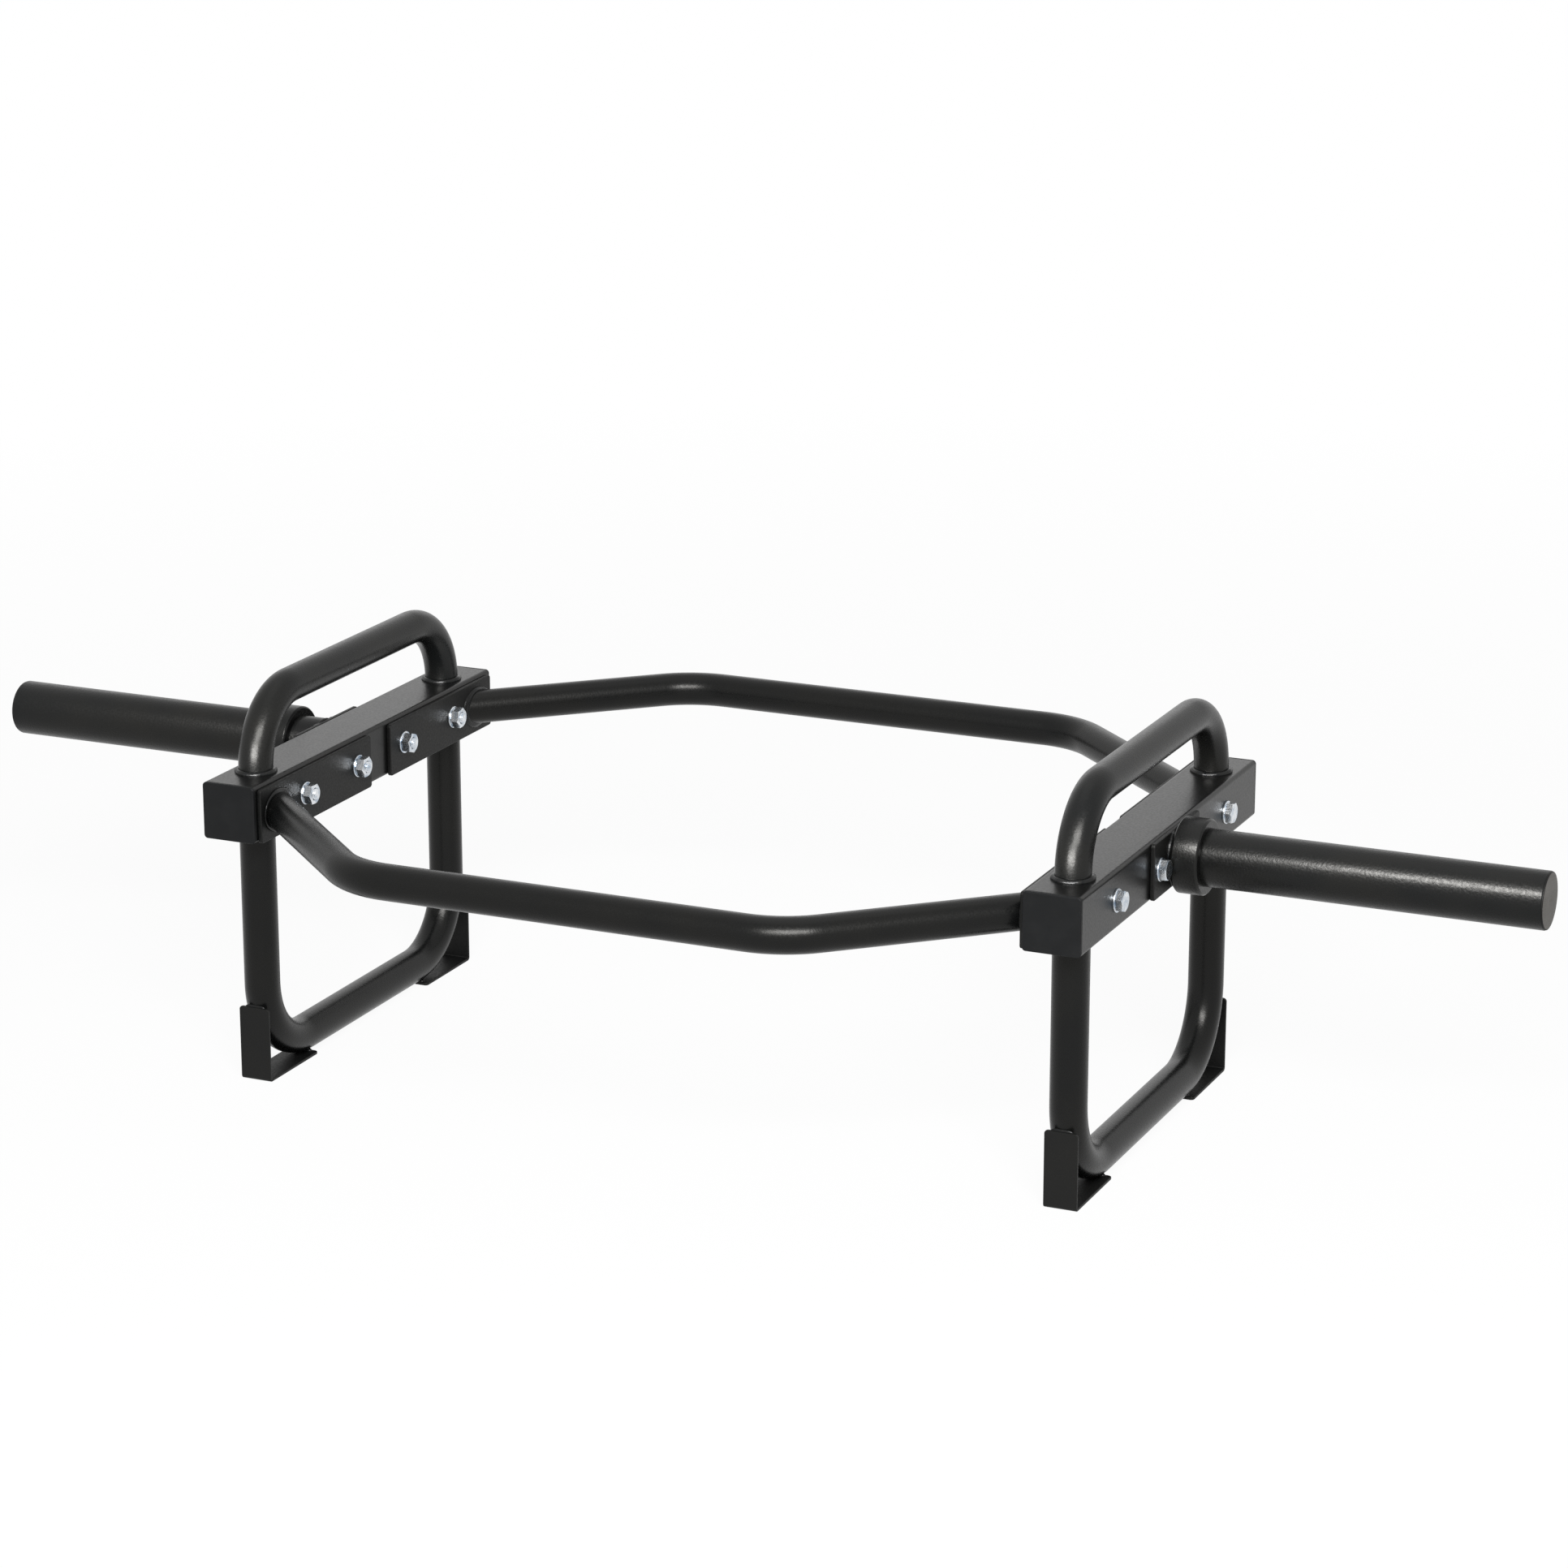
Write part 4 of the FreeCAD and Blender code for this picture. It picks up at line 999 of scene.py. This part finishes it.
class TRAPBAR_OT_leg_welds(Operator):
    """Builds the beads round the legs of the handles and the stands."""

    bl_idname = "trapbar.leg_welds"
    bl_label = "Leg welds"

    def execute(self, context):
        settings = context.scene.trap_bar
        sizes = settings.welds
        coat = weld_coat(settings.finishes)
        for side, _ in SIDES:
            underside, top, _, middle = extent(f"{side}_side_beam")
            for tube, level, up in (("handle", top[2], 1.0), ("stand", underside[2], -1.0)):
                _, high, half, _ = extent(f"{side}_{tube}")
                radius = half[0]
                ripples, around = ripples_round(FULL_TURN * radius, sizes)
                outward = np.stack([np.cos(around), np.sin(around), 0 * around], 1)
                shells = []
                for _, way in ENDS:
                    centre = np.array([middle[0], way * (high[1] - radius), level])
                    base = centre + radius * outward
                    shells.append(bead(base, outward, up * AXIS_Z, sizes.leg, ripples, sizes))
                add_piece(f"{side}_{tube}_welds", "beads", shells, coat)
        return {"FINISHED"}


class TRAPBAR_OT_hex_welds(Operator):
    """Builds the beads round the slanted ends of the hex tubes.

    A base point is a point of the tube's circle slid along the tube on to the plate, which gives an
    ellipse. The bead reaches outward square to that ellipse and back along the slanted tube.
    """

    bl_idname = "trapbar.hex_welds"
    bl_label = "Hex tube welds"

    def execute(self, context):
        settings = context.scene.trap_bar
        sizes = settings.welds
        tubes = settings.tubes
        coat = weld_coat(settings.finishes)
        slant_share = 1.2
        for end, way in ENDS:
            radius, level, plate, run, meeting = hex_ends(end, way, tubes)
            ripples, around = ripples_round(FULL_TURN * radius * slant_share, sizes)
            cos, sin = np.cos(around), np.sin(around)
            shells = []
            for _, sign in SIDES:
                back = np.array([sign * (tubes.hex_corner_spacing / 2 - plate), run - meeting, 0.0])
                back /= np.linalg.norm(back)
                stretch = radius / abs(back[0])
                ellipse = np.stack([0 * around, stretch * cos, radius * sin], 1)
                outward = np.stack([0 * around, radius * cos, stretch * sin], 1)
                outward /= np.linalg.norm(outward, axis=1)[:, None]
                base = np.array([sign * plate, meeting, level]) + ellipse
                shells.append(bead(base, outward, back, sizes.leg, ripples, sizes))
            add_piece(f"{end}_hex_welds", "beads", shells, coat)
        return {"FINISHED"}


class TRAPBAR_OT_sleeve_welds(Operator):
    """Builds the beads round the roots of the sleeves, thinned where the plate ends above and below.

    A leg is a share of the room from the root to the plate's edge, measured along the way outward.
    """

    bl_idname = "trapbar.sleeve_welds"
    bl_label = "Sleeve welds"

    def execute(self, context):
        settings = context.scene.trap_bar
        sizes = settings.welds
        coat = weld_coat(settings.finishes)
        room_share, least_slope, least_leg = 0.8, 0.2, 0.0004
        for side, sign in SIDES:
            _, _, half, middle = extent(f"{side}_sleeve")
            plate_low, plate_high, _, _ = extent(f"{side}_sleeve_plate")
            radius = half[1] - settings.sleeves.seat_step
            ripples, around = ripples_round(FULL_TURN * radius, sizes)
            outward = round_x(0.0, 1.0, around)
            base = np.array([sign * reach_of(f"{side}_sleeve")[0], 0.0, middle[2]]) + radius * outward
            room = np.where(outward[:, 2] > 0, plate_high[2] - base[:, 2], base[:, 2] - plate_low[2])
            slope = np.maximum(np.abs(outward[:, 2]), least_slope)
            leg = np.clip(room / slope * room_share, least_leg, sizes.leg)
            beads = [bead(base, outward, sign * AXIS_X, leg, ripples, sizes)]
            add_piece(f"{side}_sleeve_weld", "bead", beads, coat)
        return {"FINISHED"}


class TRAPBAR_OT_foot_welds(Operator):
    """Builds the short beads at the free ends of the feet.

    A circle is carried along X. Its radius follows the square root of one less the fourth power of
    the place along the bead, which rounds the ends, and swells with the cosine of the ripples. The
    half of the circle inside the foot is flattened, so that it doesn't come out at the other face.
    """

    bl_idname = "trapbar.foot_welds"
    bl_label = "Foot welds"

    def execute(self, context):
        settings = context.scene.trap_bar
        sizes = settings.welds
        coat = weld_coat(settings.finishes)
        thick = settings.plates.foot_thickness
        rows, steps = 81, 32
        end_share, sunk_share, drop_share = 0.985, 0.5, 0.3
        along = np.sin(np.linspace(-end_share, end_share, rows) * QUARTER)[:, None]
        ripples = sizes.foot_length / sizes.ripple_pitch
        radius = np.sqrt(1 - along**4) * (1 + sizes.ripple * np.cos(math.pi * ripples * along))
        radius = sizes.foot_radius * radius / (1 + sizes.ripple)
        strand = round_x(along * sizes.foot_length / 2, radius, turns(steps))
        for side, _ in SIDES:
            shells = []
            for end, way in ENDS:
                high, _, middle, outer, tail = foot_line(side, end, way)
                upper = (middle[0], outer - way * thick, high[2] - sizes.foot_radius * drop_share)
                lower = (middle[0], tail + way * sizes.foot_radius, thick)
                for place, axis, inside in ((upper, 1, way), (lower, 2, -1.0)):
                    points = strand.copy()
                    points[..., axis] *= np.where(inside * points[..., axis] > 0, sunk_share, 1.0)
                    shells.append(shell(points + place))
            add_piece(f"{side}_foot_welds", "beads", shells, coat)
        return {"FINISHED"}


class TRAPBAR_OT_stage(Operator):
    """Builds the floor, the light and the camera."""

    bl_idname = "trapbar.stage"
    bl_label = "Stage"

    def execute(self, context):
        settings = context.scene.trap_bar
        self.lay_floor(settings.finishes, settings.stage)
        self.light_world(settings.stage)
        self.hang_lamps()
        self.place_camera(context.scene, settings.stage)
        context.scene.view_settings.view_transform = "Standard"
        return {"FINISHED"}

    @staticmethod
    def seen_ray(tree):
        """One for rays that show the background: from the camera, mirrored or passed through."""
        path = tree.nodes.new("ShaderNodeLightPath")
        total = path.outputs["Is Camera Ray"]
        for name in ("Is Glossy Ray", "Is Transmission Ray"):
            either = tree.nodes.new("ShaderNodeMath")
            either.operation = "MAXIMUM"
            tree.links.new(total, either.inputs[0])
            tree.links.new(path.outputs[name], either.inputs[1])
            total = either.outputs[0]
        return total

    def lay_floor(self, finishes, stage):
        """A wide pale floor that keeps the object's shadow on an even white."""
        reach, below, fade_start = 40.0, -0.0003, 1.0
        corners = [(-reach, -reach, below), (reach, -reach, below), (reach, reach, below), (-reach, reach, below)]
        mesh = bpy.data.meshes.new("floor")
        mesh.from_pydata(corners, [], [[0, 1, 2, 3]])
        floor = bpy.data.objects.new("floor", mesh)
        bpy.context.scene.collection.objects.link(floor)
        material, tree, shader = new_material("studio_floor")
        shader.inputs["Base Color"].default_value = finishes.floor
        shader.inputs["Roughness"].default_value = 0.9
        shader.inputs["Specular IOR Level"].default_value = 0.0
        glow = tree.nodes.new("ShaderNodeEmission")
        mix = tree.nodes.new("ShaderNodeMixShader")
        coordinates = tree.nodes.new("ShaderNodeTexCoord")
        distance = distance_from(tree, coordinates.outputs["Object"])
        fade = spread(tree, distance, fade_start, stage.floor_fade, stage.floor_glow, 1.0)
        part = tree.nodes.new("ShaderNodeMath")
        part.operation = "MULTIPLY"
        tree.links.new(self.seen_ray(tree), part.inputs[0])
        tree.links.new(fade, part.inputs[1])
        tree.links.new(part.outputs[0], mix.inputs["Fac"])
        tree.links.new(shader.outputs["BSDF"], mix.inputs[1])
        tree.links.new(glow.outputs["Emission"], mix.inputs[2])
        tree.links.new(mix.outputs["Shader"], tree.nodes["Material Output"].inputs["Surface"])
        mesh.materials.append(material)

    def light_world(self, stage):
        """White all round for what is seen, and a plain dimmer light for what is lit."""
        world = bpy.data.worlds.new("studio")
        bpy.context.scene.world = world
        world.use_nodes = True
        tree = world.node_tree
        background = tree.nodes["Background"]
        background.inputs["Color"].default_value = (1.0, 1.0, 1.0, 1.0)
        strength = spread(tree, self.seen_ray(tree), 0.0, 1.0, stage.world_light, 1.0)
        tree.links.new(strength, background.inputs["Strength"])

    @staticmethod
    def hang_lamps():
        """Soft boxes, each given by its name, place, width, height and power.

        A key hangs above the camera, one to its left lights the sleeves, a low one the handles, one
        stands behind the bar and one hangs overhead. They point at the middle of the bar.
        """
        lamps = (
            ("key", (1.5, -2.95, 2.45), 2.6, 1.2, 235.0),
            ("side", (-0.2, -2.8, 2.5), 1.2, 0.6, 215.0),
            ("low", (0.5, -3.0, 0.8), 2.1, 0.8, 260.0),
            ("back", (-1.7, 3.7, 1.5), 3.0, 1.2, 5.0),
            ("top", (0.0, 0.2, 3.4), 2.0, 2.0, 5.0),
        )
        # A hood keeps these lamps on the pieces with such names
        hoods = {"side": "_sleeve_", "low": "_handle_"}
        target = np.array([0.0, 0.0, 0.22])
        for name, place, width, height, power in lamps:
            lamp = bpy.data.lights.new(name, "AREA")
            lamp.shape = "RECTANGLE"
            lamp.size = width
            lamp.size_y = height
            lamp.energy = power
            holder = bpy.data.objects.new(name, lamp)
            bpy.context.scene.collection.objects.link(holder)
            x, y, z = target - np.array(place)
            tilt = math.atan2(math.hypot(x, y), -z)
            holder.visible_camera = False
            holder.location = place
            holder.rotation_euler = (tilt, 0.0, math.atan2(y, x) - QUARTER)
            if name in hoods:
                lit = bpy.data.collections.new(f"{name}_lamp_lights")
                for piece in bpy.context.scene.objects:
                    if hoods[name] in piece.name:
                        lit.objects.link(piece)
                holder.light_linking.receiver_collection = lit

    @staticmethod
    def place_camera(scene, stage):
        """A camera at the photograph's place, level, turned by its yaw and tilted down by its pitch."""
        lens = bpy.data.cameras.new("camera")
        lens.lens = stage.lens
        lens.sensor_width = 36.0
        lens.clip_end = 200.0
        camera = bpy.data.objects.new("camera", lens)
        camera.location = stage.camera_place
        camera.rotation_euler = (QUARTER - stage.camera_pitch, 0.0, stage.camera_yaw)
        scene.collection.objects.link(camera)
        scene.camera = camera


OPERATORS = (
    TRAPBAR_OT_u_tubes,
    TRAPBAR_OT_hex_tubes,
    TRAPBAR_OT_beams,
    TRAPBAR_OT_beam_caps,
    TRAPBAR_OT_plates,
    TRAPBAR_OT_feet,
    TRAPBAR_OT_sleeves,
    TRAPBAR_OT_sleeve_caps,
    TRAPBAR_OT_bolts,
    TRAPBAR_OT_nuts,
    TRAPBAR_OT_washers,
    TRAPBAR_OT_leg_welds,
    TRAPBAR_OT_hex_welds,
    TRAPBAR_OT_sleeve_welds,
    TRAPBAR_OT_foot_welds,
    TRAPBAR_OT_stage,
)


class TRAPBAR_PT_pieces(Panel):
    """Lists the bar's pieces and settings in the sidebar."""

    bl_idname = "TRAPBAR_PT_pieces"
    bl_label = "Hex Trap Bar"
    bl_space_type = "VIEW_3D"
    bl_region_type = "UI"
    bl_category = "Trap Bar"

    def draw(self, context):
        settings = context.scene.trap_bar
        for operator in OPERATORS:
            self.layout.operator(operator.bl_idname)
        for group in settings.bl_rna.properties.keys():
            part = getattr(settings, group)
            if not isinstance(part, PropertyGroup):
                continue
            box = self.layout.box()
            box.label(text=settings.bl_rna.properties[group].name)
            for name in part.__annotations__:
                box.prop(part, name)


CLASSES = (
    TubeSizes,
    PlateSizes,
    SleeveSizes,
    FastenerSizes,
    WeldSizes,
    FinishSettings,
    StageSettings,
    TrapBarSettings,
    *OPERATORS,
    TRAPBAR_PT_pieces,
)


def register():
    """Registers the classes and puts the settings on the scene."""
    for item in CLASSES:
        bpy.utils.register_class(item)
    bpy.types.Scene.trap_bar = PointerProperty(type=TrapBarSettings)


def unregister():
    """Takes the settings and the classes away again."""
    del bpy.types.Scene.trap_bar
    for item in reversed(CLASSES):
        bpy.utils.unregister_class(item)


def main():
    """Builds every piece."""
    register()
    for operator in OPERATORS:
        group, name = operator.bl_idname.split(".")
        getattr(getattr(bpy.ops, group), name)()


if __name__ == "__main__":
    main()
